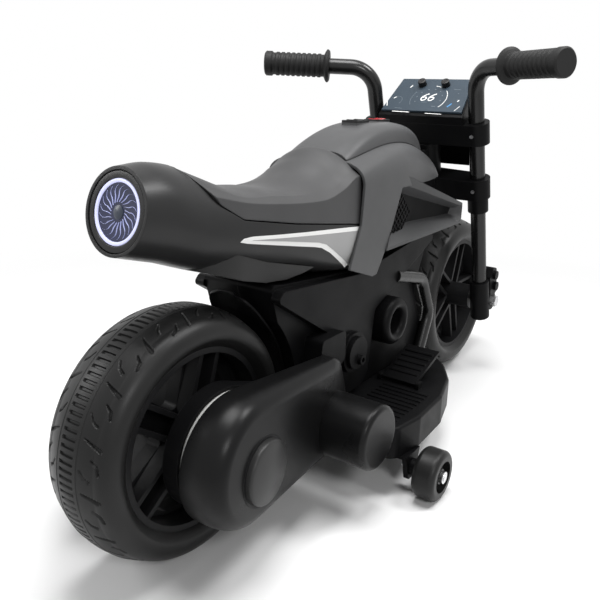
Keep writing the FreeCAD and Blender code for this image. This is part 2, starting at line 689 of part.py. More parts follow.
stem_room = cylinder(S.stem_radius + S.run_gap, fork_point(0, 0, HEAD_LOW - 5), fork_point(0, 0, HEAD_HIGH + 5))


RIGHT_HALF = Part.makeBox(1200, 300, 600, Vector(-600, -300, 0))
LEFT_HALF = Part.makeBox(1200, 300, 600, Vector(-600, 0, 0))


def make_body(side):
    """One half of the body, drawn on the right and turned over for the left."""
    core = side_prism(rounded(CORE, 12), 0, -S.body_half)
    spine = side_prism(rounded(SPINE, 8), 0, -S.spine_half)
    frame = side_prism(rounded(FRAME, 8), -S.body_half, -S.cheek_face)
    arm_root = side_prism(rounded(ARM_ROOT, 6), -S.body_half, -S.cover_inner_face)
    head = cylinder(S.head_radius, head_low, head_high)
    gusset = side_prism(polygon([(SPINE_FRONT - 12, TANK_HEM - 18), (SPINE_FRONT, TANK_HEM - 18),
                                 (head_low.x, head_low.z + 6), (head_high.x, head_high.z - 12),
                                 (SPINE_FRONT - 12, head_high.z - 14)]), 0, -S.head_radius * 0.6)
    port_boss = cylinder(BOSS_RADIUS, Vector(PORT.x, -S.body_half, PORT.z), PORT)
    solid = core.fuse([spine, frame, arm_root, head, gusset, port_boss])
    solid = solid.cut([wheel_room, battery_room, stem_room])
    solid = solid.common(RIGHT_HALF).removeSplitter()
    return solid if side == RIGHT else solid.mirror(Vector(0, 0, 0), Y_AXIS)


body_right = make_body(RIGHT)
body_left = make_body(LEFT)
keep(shaped("body_shell_right", body_right))
keep(shaped("body_shell_left", body_left))

battery = doc.addObject("Part::Box", "battery")
battery.Label = "battery"
battery.setExpression("Length", named("battery_length"))
battery.setExpression("Width", named("battery_width"))
battery.setExpression("Height", named("battery_height"))
battery.Placement = Placement(BATTERY_LOW, Rotation())
keep(battery)

port = Piece("charge_port", Placement(PORT, Rotation()))
SOCKET_DROP = 8.5
port.pad("XZ_Plane", [Round(0, 0, "port_radius"), Round(3, -SOCKET_DROP, "port_hole")], 0, "port_depth")
port.pocket("XZ_Plane", [Round(0, 0, "port_radius + 1"), Round(3, -SOCKET_DROP, "port_hole + 3")], 20, "20 - port_depth / 2")
keep(port.body)


def fender_point(radius, degrees):
    return (REAR_X + radius * math.cos(math.radians(degrees)), AXLE_Z + radius * math.sin(math.radians(degrees)))


FENDER_FRONT = 4
FENDER_TIP = 72
fender = Piece("rear_fender")
fender_outline = [
    arc(*(fender_point(FENDER_OUTER, a) for a in (FENDER_FRONT, (FENDER_FRONT + FENDER_TIP) / 2, FENDER_TIP))),
    line(fender_point(FENDER_OUTER, FENDER_TIP), fender_point(S.fender_radius, FENDER_TIP)),
    arc(*(fender_point(S.fender_radius, a) for a in (FENDER_TIP, (FENDER_FRONT + FENDER_TIP) / 2, FENDER_FRONT))),
    line(fender_point(S.fender_radius, FENDER_FRONT), fender_point(FENDER_OUTER, FENDER_FRONT))]
fender.pad("XZ_Plane", fender_outline, -S.fender_half, "2 * fender_half")
keep(fender.body)


# Lofted panels: tail, seat, tank and lid
SECTION_POINTS = 28


def oval(x, half, waist, top, bottom, top_power, bottom_power):
    """Closed cross-section: a superellipse that is fuller where its power is higher."""
    points = []
    for n in range(SECTION_POINTS):
        angle = 2 * math.pi * n / SECTION_POINTS
        across = math.cos(angle)
        up = math.sin(angle)
        power = top_power if up >= 0 else bottom_power
        height = top - waist if up >= 0 else waist - bottom
        reach = (abs(across) ** power + abs(up) ** power) ** (-1 / power)
        points.append(Vector(x, half * reach * across, waist + height * reach * up))
    curve = Part.BSplineCurve()
    curve.interpolate(points, PeriodicFlag=True)
    return Part.Wire(curve.toShape())


def lofted(stations, inset=0.0, ends=(0.0, 0.0)):
    """Loft through cross-sections, drawn in by an inset, with its two ends moved along X."""
    wires = []
    for index, (x, half, waist, top, bottom, top_power, bottom_power) in enumerate(stations):
        shift = ends[0] if index == 0 else ends[1] if index == len(stations) - 1 else 0.0
        wires.append(oval(x + shift, half - inset, waist, top - inset, bottom + inset, top_power, bottom_power))
    return Part.makeLoft(wires, True, False)


TAIL_X = REAR_X - S.tail_reach
SEAT_FRONT = -73.0
TAIL = (
    (TAIL_X, S.tail_radius, S.tail_height, S.tail_height + S.tail_radius, S.tail_height - S.tail_radius, 2.0, 2.0),
    (-325, 41.5, 341, 384, 297, 2.1, 2.1),
    (-290, 45.5, 333, 377, 284, 2.3, 2.3),
    (-250, 50, 322, 359, 271, 3.1, 2.6),
    (-205, 55, 312, 350, 260, 3.8, 2.8),
    (-160, 59, 306, 347, 254, 4.2, 3.0),
    (-115, 62, 304, 361, 249, 4.2, 3.0),
    (SEAT_FRONT, 64, 304, 380, 246, 3.8, 3.0),
)
SEAM = [(-345, 395), (-328, 377), (-290, 353), (-251, 329), (-165, 313), (SEAT_FRONT + 5, 297)]
tail_outer = lofted(TAIL)
tail_inner = lofted(TAIL, S.wall, (-10.0, 10.0))
seat_inner = lofted(TAIL, S.seat_wall, (-10.0, -S.seat_wall))
above_seam = side_prism(polygon(SEAM + [(SEAT_FRONT + 5, 450), (-345, 450)]), 120, -120)
below_seam = side_prism(polygon([(x, z - S.fit_gap) for x, z in SEAM]
                                + [(SEAT_FRONT + 5, 200), (-420, 200), (-420, 395)]), 120, -120)
deck_room = body_right.fuse(body_left)
seat_shape = tail_outer.cut(seat_inner).common(above_seam)
keep(shaped("seat", seat_shape))
lens_room = cylinder(S.tail_radius - S.wall, Vector(TAIL_X - 1, 0, S.tail_height), Vector(TAIL_X + 14, 0, S.tail_height))
tail_shape = tail_outer.cut([tail_inner, lens_room]).common(below_seam).cut(deck_room)
tail_left = keep(shaped("tail_shell_left", tail_shape.common(LEFT_HALF)))
keep(mirrored(tail_left, "tail_shell_right"))

lens = Piece("tail_lens", Placement(Vector(TAIL_X, 0, S.tail_height), Rotation()))
lens.pad("YZ_Plane", [Round(0, 0, "tail_radius - wall - fit_gap")], 1.0, "lens_thickness")
keep(lens.body)
lamp = Piece("tail_lamp", Placement(Vector(TAIL_X, 0, S.tail_height), Rotation()))
lamp.pad("YZ_Plane", [Round(0, 0, "tail_radius - wall - 1.5")], 1.0 + S.lens_thickness, "wall")
lamp.pad("YZ_Plane", [Round(0, 0, "tail_radius / 3")], 1.0 + S.lens_thickness + S.wall, "2 * wall")
keep(lamp.body)

TANK_FRONT = 168.0
TANK_REAR = SEAT_FRONT + S.fit_gap
STRIP_REAR = -101.0
TANK = (
    (STRIP_REAR, 68.3, 338, 364, 180, 3.0, 6.0),
    (-62, 68.5, 340, 374, 180, 3.0, 6.0),
    (-20, 69, 342, 382, 180, 3.0, 6.0),
    (40, 69, 344, 388, 180, 2.8, 6.0),
    (90, 65, 342, 383, 180, 2.6, 6.0),
    (135, 57, 336, 366, 180, 2.4, 6.0),
    (TANK_FRONT, 46, 330, 346, 180, 2.2, 6.0),
)
LID = (
    (TANK_REAR + 2, 44, 350, 379, 340, 4.0, 4.0),
    (-15, 43, 365, 401, 350, 4.0, 4.0),
    (20, 42, 370, 407, 355, 4.0, 4.0),
    (68, 41, 370, 407, 355, 4.0, 4.0),
    (105, 38, 365, 400, 350, 4.0, 4.0),
    (146, 28, 350, 370, 340, 3.0, 3.0),
)
STRIP = [(-77, 301), (-98, 254), (-47, 236), (-37, 237), (-13, 275), (14, TANK_HEM)]
ABOVE = 450.0
tank_side = [(TANK_REAR, ABOVE), (TANK_REAR, 345)] + STRIP + [(TANK_FRONT + 10, TANK_HEM), (TANK_FRONT + 10, ABOVE)]
tank_outer = lofted(TANK)
tank_inner = lofted(TANK, S.wall, (-10.0, -S.wall))
tank_room = lofted(TANK, -S.fit_gap)
tank_shape = tank_outer.cut(tank_inner).common(side_prism(polygon(tank_side), 120, -120))
keep(shaped("tank_cover", tank_shape))

SWITCHES = (("direction_rocker", 13.0, 407.0), ("power_rocker", 66.0, 407.0))
BEZEL = 4.0
BEZEL_RISE = 3.0
ROCKER_DEPTH = 9.0
PIVOT_DROP = 1.5
lid_shape = lofted(LID).cut(tank_room)
lid_shape = max(lid_shape.Solids, key=lambda solid: solid.Volume)


def block(x, z_low, z_high, length, width):
    return Part.makeBox(length, width, z_high - z_low, Vector(x - length / 2, -width / 2, z_low))


def rocker_pin(x, z, radius, spare):
    reach = S.rocker_width / 2 + S.fit_gap + BEZEL / 2 + spare
    return cylinder(radius, Vector(x, -reach, z - PIVOT_DROP), Vector(x, reach, z - PIVOT_DROP))


for _, x, z in SWITCHES:
    frame_block = block(x, z - ROCKER_DEPTH, z + BEZEL_RISE, S.rocker_length + 2 * BEZEL, S.rocker_width + 2 * BEZEL)
    lid_shape = lid_shape.fuse(frame_block)
for label, x, z in SWITCHES:
    room = block(x, z - ROCKER_DEPTH + 2, z + 20, S.rocker_length + 4 * S.fit_gap, S.rocker_width + 2 * S.fit_gap)
    lid_shape = lid_shape.cut([room, rocker_pin(x, z, S.rocker_pin + S.run_gap, S.fit_gap)])
    half = S.rocker_length / 2
    tip = half - 0.6
    low = z - ROCKER_DEPTH + 2 + S.fit_gap
    top = z + BEZEL_RISE
    rocker_outline = [
        line((x - half, top - 2), (x - tip, top + 1)), line((x - tip, top + 1), (x, top - 0.6)),
        line((x, top - 0.6), (x + tip, top + 1)), line((x + tip, top + 1), (x + half, top - 2)),
        arc((x + half, top - 2), (x, low), (x - half, top - 2))]
    rocker = side_prism(rocker_outline, S.rocker_width / 2, -S.rocker_width / 2)
    keep(shaped(label, rocker.fuse(rocker_pin(x, z, S.rocker_pin, 0)).removeSplitter()))
keep(shaped("tank_lid", lid_shape.removeSplitter()))


# Intake shrouds: a wedge that opens outwards, with a mesh at its rear
def quad(x, corners):
    points = [Vector(x, y, z) for y, z in corners]
    return Part.makePolygon(points + points[:1])


INTAKE_TIP = 180.0
FLOOR_REAR = (8.0, -61.0)
FLOOR_FRONT = (166.0, -86.0)
intake_wedge = Part.makeLoft([
    quad(-14, [(-73, 266), (-67, 346), (-S.cheek_face, 346), (-S.cheek_face, 266)]),
    quad(INTAKE_TIP, [(-97, 274), (-95, 306), (-79, 306), (-79, 274)])], True, True)
intake_recess = Part.makeLoft([
    quad(FLOOR_REAR[0], [(-130, 276), (-130, 338), (FLOOR_REAR[1], 338), (FLOOR_REAR[1], 276)]),
    quad(FLOOR_FRONT[0], [(-130, 280), (-130, 299), (FLOOR_FRONT[1], 299), (FLOOR_FRONT[1], 280)])], True, True)
strip_room = side_prism(polygon([(x + S.fit_gap, z - S.fit_gap) for x, z in tank_side[1:-2]] + [(14, ABOVE), (-77, ABOVE)]), 0, -200)
hem_room = tank_room.common(Part.makeBox(600, 300, 200, Vector(-300, -150, TANK_HEM - S.fit_gap)))
intake_shape = intake_wedge.cut([intake_recess, hem_room, strip_room])
intake_shape = max(intake_shape.Solids, key=lambda solid: solid.Volume)
intake = keep(shaped("intake_right", intake_shape))
keep(mirrored(intake, "intake_left"))

MESH_STEP = 9.0
MESH_HOLE = 3.1
MESH_PLATE = 2.0
MESH_OUTLINE = [(10, 279), (44, 279), (58, 296), (46, 326), (32, 326)]
mesh = side_prism(polygon(MESH_OUTLINE), 0, -MESH_PLATE)
holes = []
for column in range(12):
    for level in range(14):
        x = 8 + column * MESH_STEP / 2
        z = 280 + level * MESH_STEP / 2
        if (column + level) % 2 == 0:
            diamond = [(x - MESH_HOLE, z), (x, z - MESH_HOLE), (x + MESH_HOLE, z), (x, z + MESH_HOLE)]
            holes.append(side_prism(polygon(diamond), 1, -MESH_PLATE - 1))
mesh_rim = mesh.cut(side_prism(polygon([(15, 282), (42, 282), (54, 296), (44, 322.5), (34, 322.5)]), 1, -MESH_PLATE - 1))
mesh_shape = mesh.cut(holes).fuse(mesh_rim).removeSplitter()
mesh_shape = max(mesh_shape.Solids, key=lambda solid: solid.Volume)
mesh_turn = math.degrees(math.atan2(FLOOR_FRONT[1] - FLOOR_REAR[1], FLOOR_FRONT[0] - FLOOR_REAR[0]))
mesh_place = Placement(Vector(0, FLOOR_REAR[1] - 0.2, 0), Rotation(Vector(0, 0, 1), mesh_turn), Vector(FLOOR_REAR[0], 0, 0))
grille = shaped("grille_right", mesh_shape, mesh_place)
group("intake_grilles", [grille, mirrored(grille, "grille_left")])

ring = Piece("ring_cover_right", Placement(Vector(20, -S.body_half, 162), Rotation()))
RING_DEPTH = S.ring_face - S.body_half
ring_mid = (S.ring_radius + S.ring_bore) / 2
ring.revolve("XY_Plane", [
    line((0, 0), (S.ring_radius, 0)), line((S.ring_radius, 0), (S.ring_radius, 8 - RING_DEPTH)),
    arc((S.ring_radius, 8 - RING_DEPTH), (ring_mid, -RING_DEPTH), (S.ring_bore, 8 - RING_DEPTH)),
    line((S.ring_bore, 8 - RING_DEPTH), (S.ring_bore - 2, -4)), line((S.ring_bore - 2, -4), (0, -4)), line((0, -4), (0, 0))])
group("ring_covers", [ring.body, mirrored(ring.body, "ring_cover_left")])


# Footboards
BOARD = [(-112, -142), (-62, -S.board_reach), (4, -S.board_reach + 3), (58, -132), (97, -108), (124, -80), (124, -S.body_half),
         (-112, -S.body_half)]
PEDAL_PIVOT = Vector(4, 0, S.board_top + 5)
PEDAL_MIDDLE = -87.0
EAR_WIDTH = 5.0
EAR = [(PEDAL_PIVOT.x - 6, S.board_top - 1), (PEDAL_PIVOT.x + 6, S.board_top - 1), (PEDAL_PIVOT.x + 6, S.board_top + 9),
       (PEDAL_PIVOT.x - 6, S.board_top + 9)]
TREAD_RIB = 1.5


def board_shape(with_pedal):
    face = Part.Face(Part.Wire(Part.sortEdges([item.toShape() for item in rounded(BOARD, 16)])[0]))
    face.translate(Vector(0, 0, S.board_bottom))
    solid = face.extrude(Vector(0, 0, S.board_top - S.board_bottom))
    rim = [edge for edge in solid.Edges if at_level("Z", S.board_top)(edge)
           and edge.BoundBox.YMin < -S.body_half - 1 and edge.BoundBox.XMax > -111]
    solid = solid.makeFillet(4.0, rim)
    hollow = solid.copy()
    inner = Part.Face(Part.Wire(Part.sortEdges([item.toShape() for item in rounded(
        [(x + (4 if x < 0 else -4 if x > 60 else 0), y + (4 if y < -S.body_half - 1 else -4)) for x, y in BOARD], 14)])[0]))
    inner.translate(Vector(0, 0, S.board_bottom - 1))
    hollow = inner.extrude(Vector(0, 0, S.board_top - S.board_bottom + 1 - 4))
    solid = solid.cut(hollow)
    ribs = []
    for n in range(9):
        x = -92 + n * 10
        ribs.append(Part.makeBox(4, 62, TREAD_RIB, Vector(x, -134, S.board_top)))
    if not with_pedal:
        for n in range(9, 18):
            ribs.append(Part.makeBox(4, 46, TREAD_RIB, Vector(-92 + n * 10, -112, S.board_top)))
    solid = solid.fuse(ribs)
    if with_pedal:
        pin_room = S.pedal_width / 2 + S.fit_gap
        clear = Part.makeBox(S.pedal_length + 24, S.pedal_width + 2 * EAR_WIDTH + 4, 40,
                             Vector(PEDAL_PIVOT.x - 12, PEDAL_MIDDLE - pin_room - EAR_WIDTH - 1, S.board_top))
        solid = solid.cut(clear)
        for side in (-1, 1):
            start = PEDAL_MIDDLE + side * pin_room
            solid = solid.fuse(side_prism(rounded(EAR, 3), start, start + side * EAR_WIDTH))
        solid = solid.cut(cylinder(S.pedal_pin_radius + S.run_gap, Vector(PEDAL_PIVOT.x, -200, PEDAL_PIVOT.z),
                                   Vector(PEDAL_PIVOT.x, 0, PEDAL_PIVOT.z)))
    return solid.removeSplitter()


board_right = board_shape(True)
board_plain = board_shape(False)
keep(shaped("footboard_right", board_right))
keep(shaped("footboard_left", board_plain.mirror(Vector(0, 0, 0), Y_AXIS)))

slope = math.radians(S.pedal_slope)
along = Vector(math.cos(slope), 0, math.sin(slope))
across = Vector(-math.sin(slope), 0, math.cos(slope))


def pedal_point(run, rise):
    place = PEDAL_PIVOT + along * run + across * rise
    return (place.x, place.z)


PEDAL_PLATE = 4.0
pedal_outline = [pedal_point(*p) for p in ((-4, -2), (S.pedal_length, -1), (S.pedal_length + 3, -8), (S.pedal_length + 6, -7),
                                           (S.pedal_length + 3, PEDAL_PLATE - 1), (-4, PEDAL_PLATE - 1))]
pedal_half = S.pedal_width / 2
pedal = side_prism(rounded(pedal_outline, 1.2), PEDAL_MIDDLE + pedal_half, PEDAL_MIDDLE - pedal_half)
for n in range(5):
    run = 10 + n * 11
    rib = [pedal_point(*p) for p in ((run, 2), (run + 5, 2), (run + 4.4, 4.6), (run + 0.6, 4.6))]
    pedal = pedal.fuse(side_prism(polygon(rib), PEDAL_MIDDLE + pedal_half - 4, PEDAL_MIDDLE - pedal_half + 4))
pin_reach = pedal_half + S.fit_gap + EAR_WIDTH
pedal = pedal.fuse(cylinder(S.pedal_pin_radius, Vector(PEDAL_PIVOT.x, PEDAL_MIDDLE - pin_reach, PEDAL_PIVOT.z),
                            Vector(PEDAL_PIVOT.x, PEDAL_MIDDLE + pin_reach, PEDAL_PIVOT.z)))
keep(shaped("accelerator_pedal", pedal.removeSplitter()))
switch_body = Part.makeBox(20, 8, 6, Vector(PEDAL_PIVOT.x + 30, PEDAL_MIDDLE - 4, S.board_top))
switch_nub = cylinder(1.8, Vector(PEDAL_PIVOT.x + 42, PEDAL_MIDDLE, S.board_top + 6),
                      Vector(PEDAL_PIVOT.x + 42, PEDAL_MIDDLE, S.board_top + 9.2))
keep(shaped("pedal_switch", switch_body.fuse(switch_nub)))


# Bent tubes
def bent_tube(points, radius, bend):
    """Round tube along straight runs joined by tangent arcs."""
    edges = []
    last = points[0]
    for before, corner, after in zip(points, points[1:], points[2:]):
        back = (before - corner).normalize()
        ahead = (after - corner).normalize()
        half = back.getAngle(ahead) / 2
        reach = bend / math.tan(half)
        first = corner + back * reach
        end = corner + ahead * reach
        middle = corner + (back + ahead).normalize() * (bend / math.sin(half) - bend)
        edges.append(Part.LineSegment(last, first).toShape())
        edges.append(Part.Arc(first, middle, end).toShape())
        last = end
    edges.append(Part.LineSegment(last, points[-1]).toShape())
    path = Part.Wire(edges)
    start = points[1] - points[0]
    ring_wire = Part.Wire(Part.makeCircle(radius, points[0], start))
    return path.makePipeShell([ring_wire], True, False)


loop_points = [Vector(x, -S.loop_side, z) for x, z in ((38, 216), (118, 196), (150, 140), (118, 74))]
loop = bent_tube(loop_points, S.loop_radius, 26.0).cut([body_right, board_right])
loop = max(loop.Solids, key=lambda solid: solid.Volume)
loop_tube = shaped("frame_tube_right", loop)
group("frame_tubes", [loop_tube, mirrored(loop_tube, "frame_tube_left")])

# Training wheels
SMALL_X = -S.small_wheel_back
SMALL_AXLE = Vector(SMALL_X, -(S.small_wheel_face - S.small_wheel_width / 2), S.small_wheel_radius)
for side, label in ((RIGHT, "training_wheel_right"), (LEFT, "training_wheel_left")):
    place = Vector(SMALL_X, -side * SMALL_AXLE.y, S.small_wheel_radius)
    small = Piece(label, Placement(place, Rotation()))
    half = S.small_wheel_width / 2
    bore = S.small_bolt_radius + S.run_gap
    radius = S.small_wheel_radius
    dish = radius - 11
    small.revolve("XY_Plane", [
        line((bore, -half + 3), (9, -half + 3)), line((9, -half + 3), (9, -half + 9)), line((9, -half + 9), (dish, -half + 9)),
        line((dish, -half + 9), (dish, -half)), line((dish, -half), (radius - 6, -half)),
        arc((radius - 6, -half), (radius - 1.6, -half + 2.2), (radius, -half + 7)),
        line((radius, -half + 7), (radius, half - 7)),
        arc((radius, half - 7), (radius - 1.6, half - 2.2), (radius - 6, half)),
        line((radius - 6, half), (dish, half)), line((dish, half), (dish, half - 9)), line((dish, half - 9), (9, half - 9)),
        line((9, half - 9), (9, half - 3)), line((9, half - 3), (bore, half - 3)), line((bore, half - 3), (bore, -half + 3))])
    keep(small.body)

BRACKET_Y = -146.0
bracket_plate = side_prism(rounded([(SMALL_X - 17, S.board_bottom), (SMALL_X + 17, S.board_bottom), (SMALL_X + 9, 16),
                                    (SMALL_X - 9, 16)], 4), BRACKET_Y, BRACKET_Y - 6)
bracket_foot = Part.makeBox(34, 46, 4, Vector(SMALL_X - 17, BRACKET_Y - 6, S.board_bottom - 4))
WHEEL_BACK = -(S.small_wheel_face - S.small_wheel_width) + S.fit_gap - 3
bracket_boss = cylinder(10, Vector(SMALL_X, BRACKET_Y, S.small_wheel_radius), Vector(SMALL_X, WHEEL_BACK, S.small_wheel_radius))
bracket_hole = cylinder(S.small_bolt_radius, Vector(SMALL_X, BRACKET_Y + 20, S.small_wheel_radius),
                        Vector(SMALL_X, -200, S.small_wheel_radius))
bracket = shaped("training_bracket_right", bracket_plate.fuse([bracket_foot, bracket_boss]).cut(bracket_hole).removeSplitter())
group("training_brackets", [bracket, mirrored(bracket, "training_bracket_left")])
bolt_head = -(S.small_wheel_face - 3 + S.fit_gap)
bolt = cylinder(S.small_bolt_radius, Vector(SMALL_X, BRACKET_Y + 6, S.small_wheel_radius),
                Vector(SMALL_X, bolt_head - 5, S.small_wheel_radius))
bolt = bolt.fuse(cylinder(7, Vector(SMALL_X, bolt_head, S.small_wheel_radius),
                          Vector(SMALL_X, bolt_head - 4, S.small_wheel_radius)))
bolt_piece = shaped("training_bolt_right", bolt)
group("training_bolts", [bolt_piece, mirrored(bolt_piece, "training_bolt_left")])

# Steering: everything here is drawn along the steering axis and then raked
CLAMP_BELT = [(0, -S.fork_half, S.clamp_radius), (S.clamp_middle - S.clamp_radius, 0, S.clamp_middle), (0, S.fork_half, S.clamp_radius)]


def make_clamp(label, height):
    clamp = Piece(label, FORK)
    low = number(f"{height} - clamp_height / 2")
    clamp.pad("XY_Plane", around(CLAMP_BELT), low, "clamp_height")
    holes = [Round(0, -S.fork_half, "tube_radius"), Round(0, 0, "stem_radius"), Round(0, S.fork_half, "tube_radius")]
    clamp.pocket("XY_Plane", holes, low + S.clamp_height, "clamp_height")
    return keep(clamp.body)


make_clamp("lower_clamp", "lower_clamp_height")
make_clamp("upper_clamp", "upper_clamp_height")
stem = rod("steering_stem", "stem_radius", Vector(0, 0, 0), "upper_clamp_height - lower_clamp_height + clamp_height", Vector(0, 0, 1))
stem.Placement = FORK.multiply(Placement(Vector(0, 0, S.lower_clamp_height - S.clamp_height / 2), Rotation()))
keep(stem)

tubes = []
collars = []
legs = []
bars = []
grips = []
screws = []
bar_corner = Vector(0, -S.fork_half, S.bar_rise)
sweep = math.radians(S.bar_sweep)
lift = math.radians(S.bar_lift)
bar_run = Vector(-math.sin(sweep) * math.cos(lift), -math.cos(sweep) * math.cos(lift), math.sin(lift))
grip_place = FORK.multiply(Placement(bar_corner + bar_run * S.grip_start, Rotation(Vector(0, 0, 1), bar_run)))

tube = rod("fork_tube_right", "tube_radius", Vector(0, 0, 0), "upper_clamp_height - tube_seat", Vector(0, 0, 1))
tube.Placement = FORK.multiply(Placement(Vector(0, -S.fork_half, S.tube_seat), Rotation()))
group("fork_tubes", [tube, mirrored(tube, "fork_tube_left")])

collar_low = S.lower_clamp_height - S.clamp_height / 2 - S.collar_height
collar = Piece("fork_collar_right", FORK)
collar.pad("XY_Plane", [Round(0, -S.fork_half, "collar_radius"), Round(0, -S.fork_half, "tube_radius")], collar_low, "collar_height")
group("fork_collars", [collar.body, mirrored(collar.body, "fork_collar_left")])

axle_in_fork = FORK.inverse().multVec(FRONT_AXLE)
leg_low = Vector(0, -S.fork_half, -S.leg_bottom)
leg_high = Vector(0, -S.fork_half, S.leg_top)
leg = cylinder(S.leg_radius, leg_low, leg_high)
leg_side = S.fork_half - S.leg_radius
lug = cylinder(15, Vector(axle_in_fork.x, -leg_side - 4, axle_in_fork.z),
               Vector(axle_in_fork.x, -S.fork_half - S.leg_radius, axle_in_fork.z))
caliper = side_prism(rounded([(8, 4), (34, 2), (36, 44), (24, 52), (8, 40)], 5), -S.fork_half + 6, -S.fork_half - S.leg_radius)
pistons = [cylinder(7, Vector(24, -S.fork_half - S.leg_radius, z), Vector(24, -S.fork_half - S.leg_radius - 5, z)) for z in (18, 38)]
leg = leg.fuse([lug, caliper] + pistons)
leg = leg.cut([cylinder(S.tube_radius, Vector(0, -S.fork_half, S.tube_seat), Vector(0, -S.fork_half, S.leg_top + 30)),
               cylinder(S.axle_radius, Vector(axle_in_fork.x, -40, axle_in_fork.z), Vector(axle_in_fork.x, -140, axle_in_fork.z))])
leg_piece = shaped("fork_leg_right", leg.removeSplitter(), FORK)
group("fork_legs", [leg_piece, mirrored(leg_piece, "fork_leg_left")])

bar_start = Vector(0, -S.fork_half, S.upper_clamp_height)
bar_end = bar_corner + bar_run * (S.grip_start + S.grip_length - 6)
bar = shaped("handlebar_right", bent_tube([bar_start, bar_corner, bar_end], S.tube_radius, S.bar_bend), FORK)
group("handlebars", [bar, mirrored(bar, "handlebar_left")])

grip = Piece("grip_right", grip_place)
grip_profile = [(S.tube_radius, 0), (S.grip_flange - 2, 0), (S.grip_flange, 2), (S.grip_flange, 4), (S.grip_flange - 3, 6),
                (S.grip_radius, 8)]
rib_step = (S.grip_length - 26) / S.grip_ribs
for n in range(int(S.grip_ribs)):
    start = 12 + n * rib_step
    grip_profile += [(S.grip_radius, start), (S.grip_radius + 1.2, start + 1.2),
                     (S.grip_radius + 1.2, start + rib_step - 3), (S.grip_radius, start + rib_step - 1.8)]
grip_profile += [(S.grip_radius, S.grip_length - 12), (S.grip_radius + 2, S.grip_length - 10),
                 (S.grip_radius + 2, S.grip_length - 2), (S.grip_radius, S.grip_length), (0, S.grip_length),
                 (0, S.grip_length - 6), (S.tube_radius, S.grip_length - 6)]
grip.revolve("XZ_Plane", polygon(grip_profile))
group("grips", [grip.body, mirrored(grip.body, "grip_left")])

for height in (S.lower_clamp_height, S.upper_clamp_height):
    start = Vector(-S.clamp_radius + 2, -S.fork_half, height)
    head = shaped("clamp_screw", cylinder(S.clamp_screw_radius, start + Vector(-2, 0, 0), start + Vector(-4, 0, 0)), FORK)
    screws += [head, mirrored(head, "clamp_screw_left")]
group("fork_fasteners", screws + [
    nut("front_nut_right", FRONT_AXLE, -FRONT_AXLE_END, -FRONT_AXLE_END + S.nut_length),
    nut("front_nut_left", FRONT_AXLE, FRONT_AXLE_END - S.nut_length, FRONT_AXLE_END)])

# Dash and headlamp
CLAMP_TOP = S.upper_clamp_height + S.clamp_height / 2
tilt = math.radians(S.dash_tilt)
DASH_LOW = Vector(-15, 0, CLAMP_TOP + 13)
dash_along = Vector(math.cos(tilt), 0, math.sin(tilt))
dash_up = Vector(-math.sin(tilt), 0, math.cos(tilt))
DASH_HIGH = DASH_LOW + dash_along * S.dash_length
LAMP_FACE = 86.0
LAMP_HEIGHT = S.upper_clamp_height - 18
BEHIND = S.clamp_middle + 8
housing_side = [(DASH_LOW.x - 3, CLAMP_TOP), (DASH_LOW.x - 3, DASH_LOW.z - 2), (DASH_LOW.x, DASH_LOW.z), (DASH_HIGH.x, DASH_HIGH.z),
                (DASH_HIGH.x + 12, DASH_HIGH.z - 6), (LAMP_FACE, LAMP_HEIGHT + S.lamp_radius + 8), (LAMP_FACE, LAMP_HEIGHT - S.lamp_radius - 6),
                (LAMP_FACE - 16, LAMP_HEIGHT - S.lamp_radius - 16), (BEHIND, LAMP_HEIGHT - S.lamp_radius - 8), (BEHIND, CLAMP_TOP)]
housing = side_prism(polygon(housing_side), S.dash_low_half, -S.dash_low_half)
taper = (S.dash_low_half - S.dash_high_half) / S.dash_length
plan = [(DASH_LOW.x - 10, -S.dash_low_half), (DASH_LOW.x, -S.dash_low_half), (DASH_HIGH.x, -S.dash_high_half), (LAMP_FACE + 10, -S.lamp_radius - 8),
        (LAMP_FACE + 10, S.lamp_radius + 8), (DASH_HIGH.x, S.dash_high_half), (DASH_LOW.x, S.dash_low_half), (DASH_LOW.x - 10, S.dash_low_half)]
plan_face = Part.Face(Part.makePolygon([Vector(x, y, 100) for x, y in plan + plan[:1]]))
housing = housing.common(plan_face.extrude(Vector(0, 0, 400)))
lamp_middle = Vector(LAMP_FACE, 0, LAMP_HEIGHT)
lamp_back = lamp_middle - Vector(8, 0, 0)
housing = housing.cut(cylinder(S.lamp_radius + S.fit_gap, lamp_back, lamp_middle + Vector(20, 0, 0)))
tube_room = [cylinder(S.tube_radius + 1, Vector(0, s * S.fork_half, CLAMP_TOP), Vector(0, s * S.fork_half, 420)) for s in (-1, 1)]
housing = housing.cut(tube_room)


def dash_point(run, side, rise=0.0):
    return DASH_LOW + dash_along * run + dash_up * rise + Vector(0, side, 0)


MARGIN = 3.0
face_corners = [dash_point(MARGIN, s * (S.dash_low_half - MARGIN)) for s in (-1, 1)]
face_corners += [dash_point(S.dash_length - MARGIN, s * (S.dash_high_half - MARGIN)) for s in (1, -1)]
dash_plate = Part.Face(Part.makePolygon(face_corners + face_corners[:1])).extrude(dash_up * S.dash_plate)
BUTTON_RUN = S.dash_length - 16
BUTTON_DEPTH = 8.0
button_rooms = []
for side, label in ((RIGHT, "dash_button_right"), (LEFT, "dash_button_left")):
    foot = dash_point(BUTTON_RUN, side * S.button_spread, -BUTTON_DEPTH + S.button_travel + S.fit_gap)
    top = dash_point(BUTTON_RUN, side * S.button_spread, S.dash_plate + S.button_height)
    button = cylinder(S.button_radius, foot, top)
    crown = [edge for edge in button.Edges if (edge.CenterOfMass - top).Length < 1e-3]
    keep(shaped(label, button.makeFillet(1.2, crown), FORK))
    button_rooms.append(cylinder(S.button_radius + S.fit_gap, dash_point(BUTTON_RUN, side * S.button_spread, -BUTTON_DEPTH), top))
keep(shaped("dash_face", dash_plate.cut(button_rooms), FORK))
keep(shaped("dash_housing", housing.cut(button_rooms).removeSplitter(), FORK))
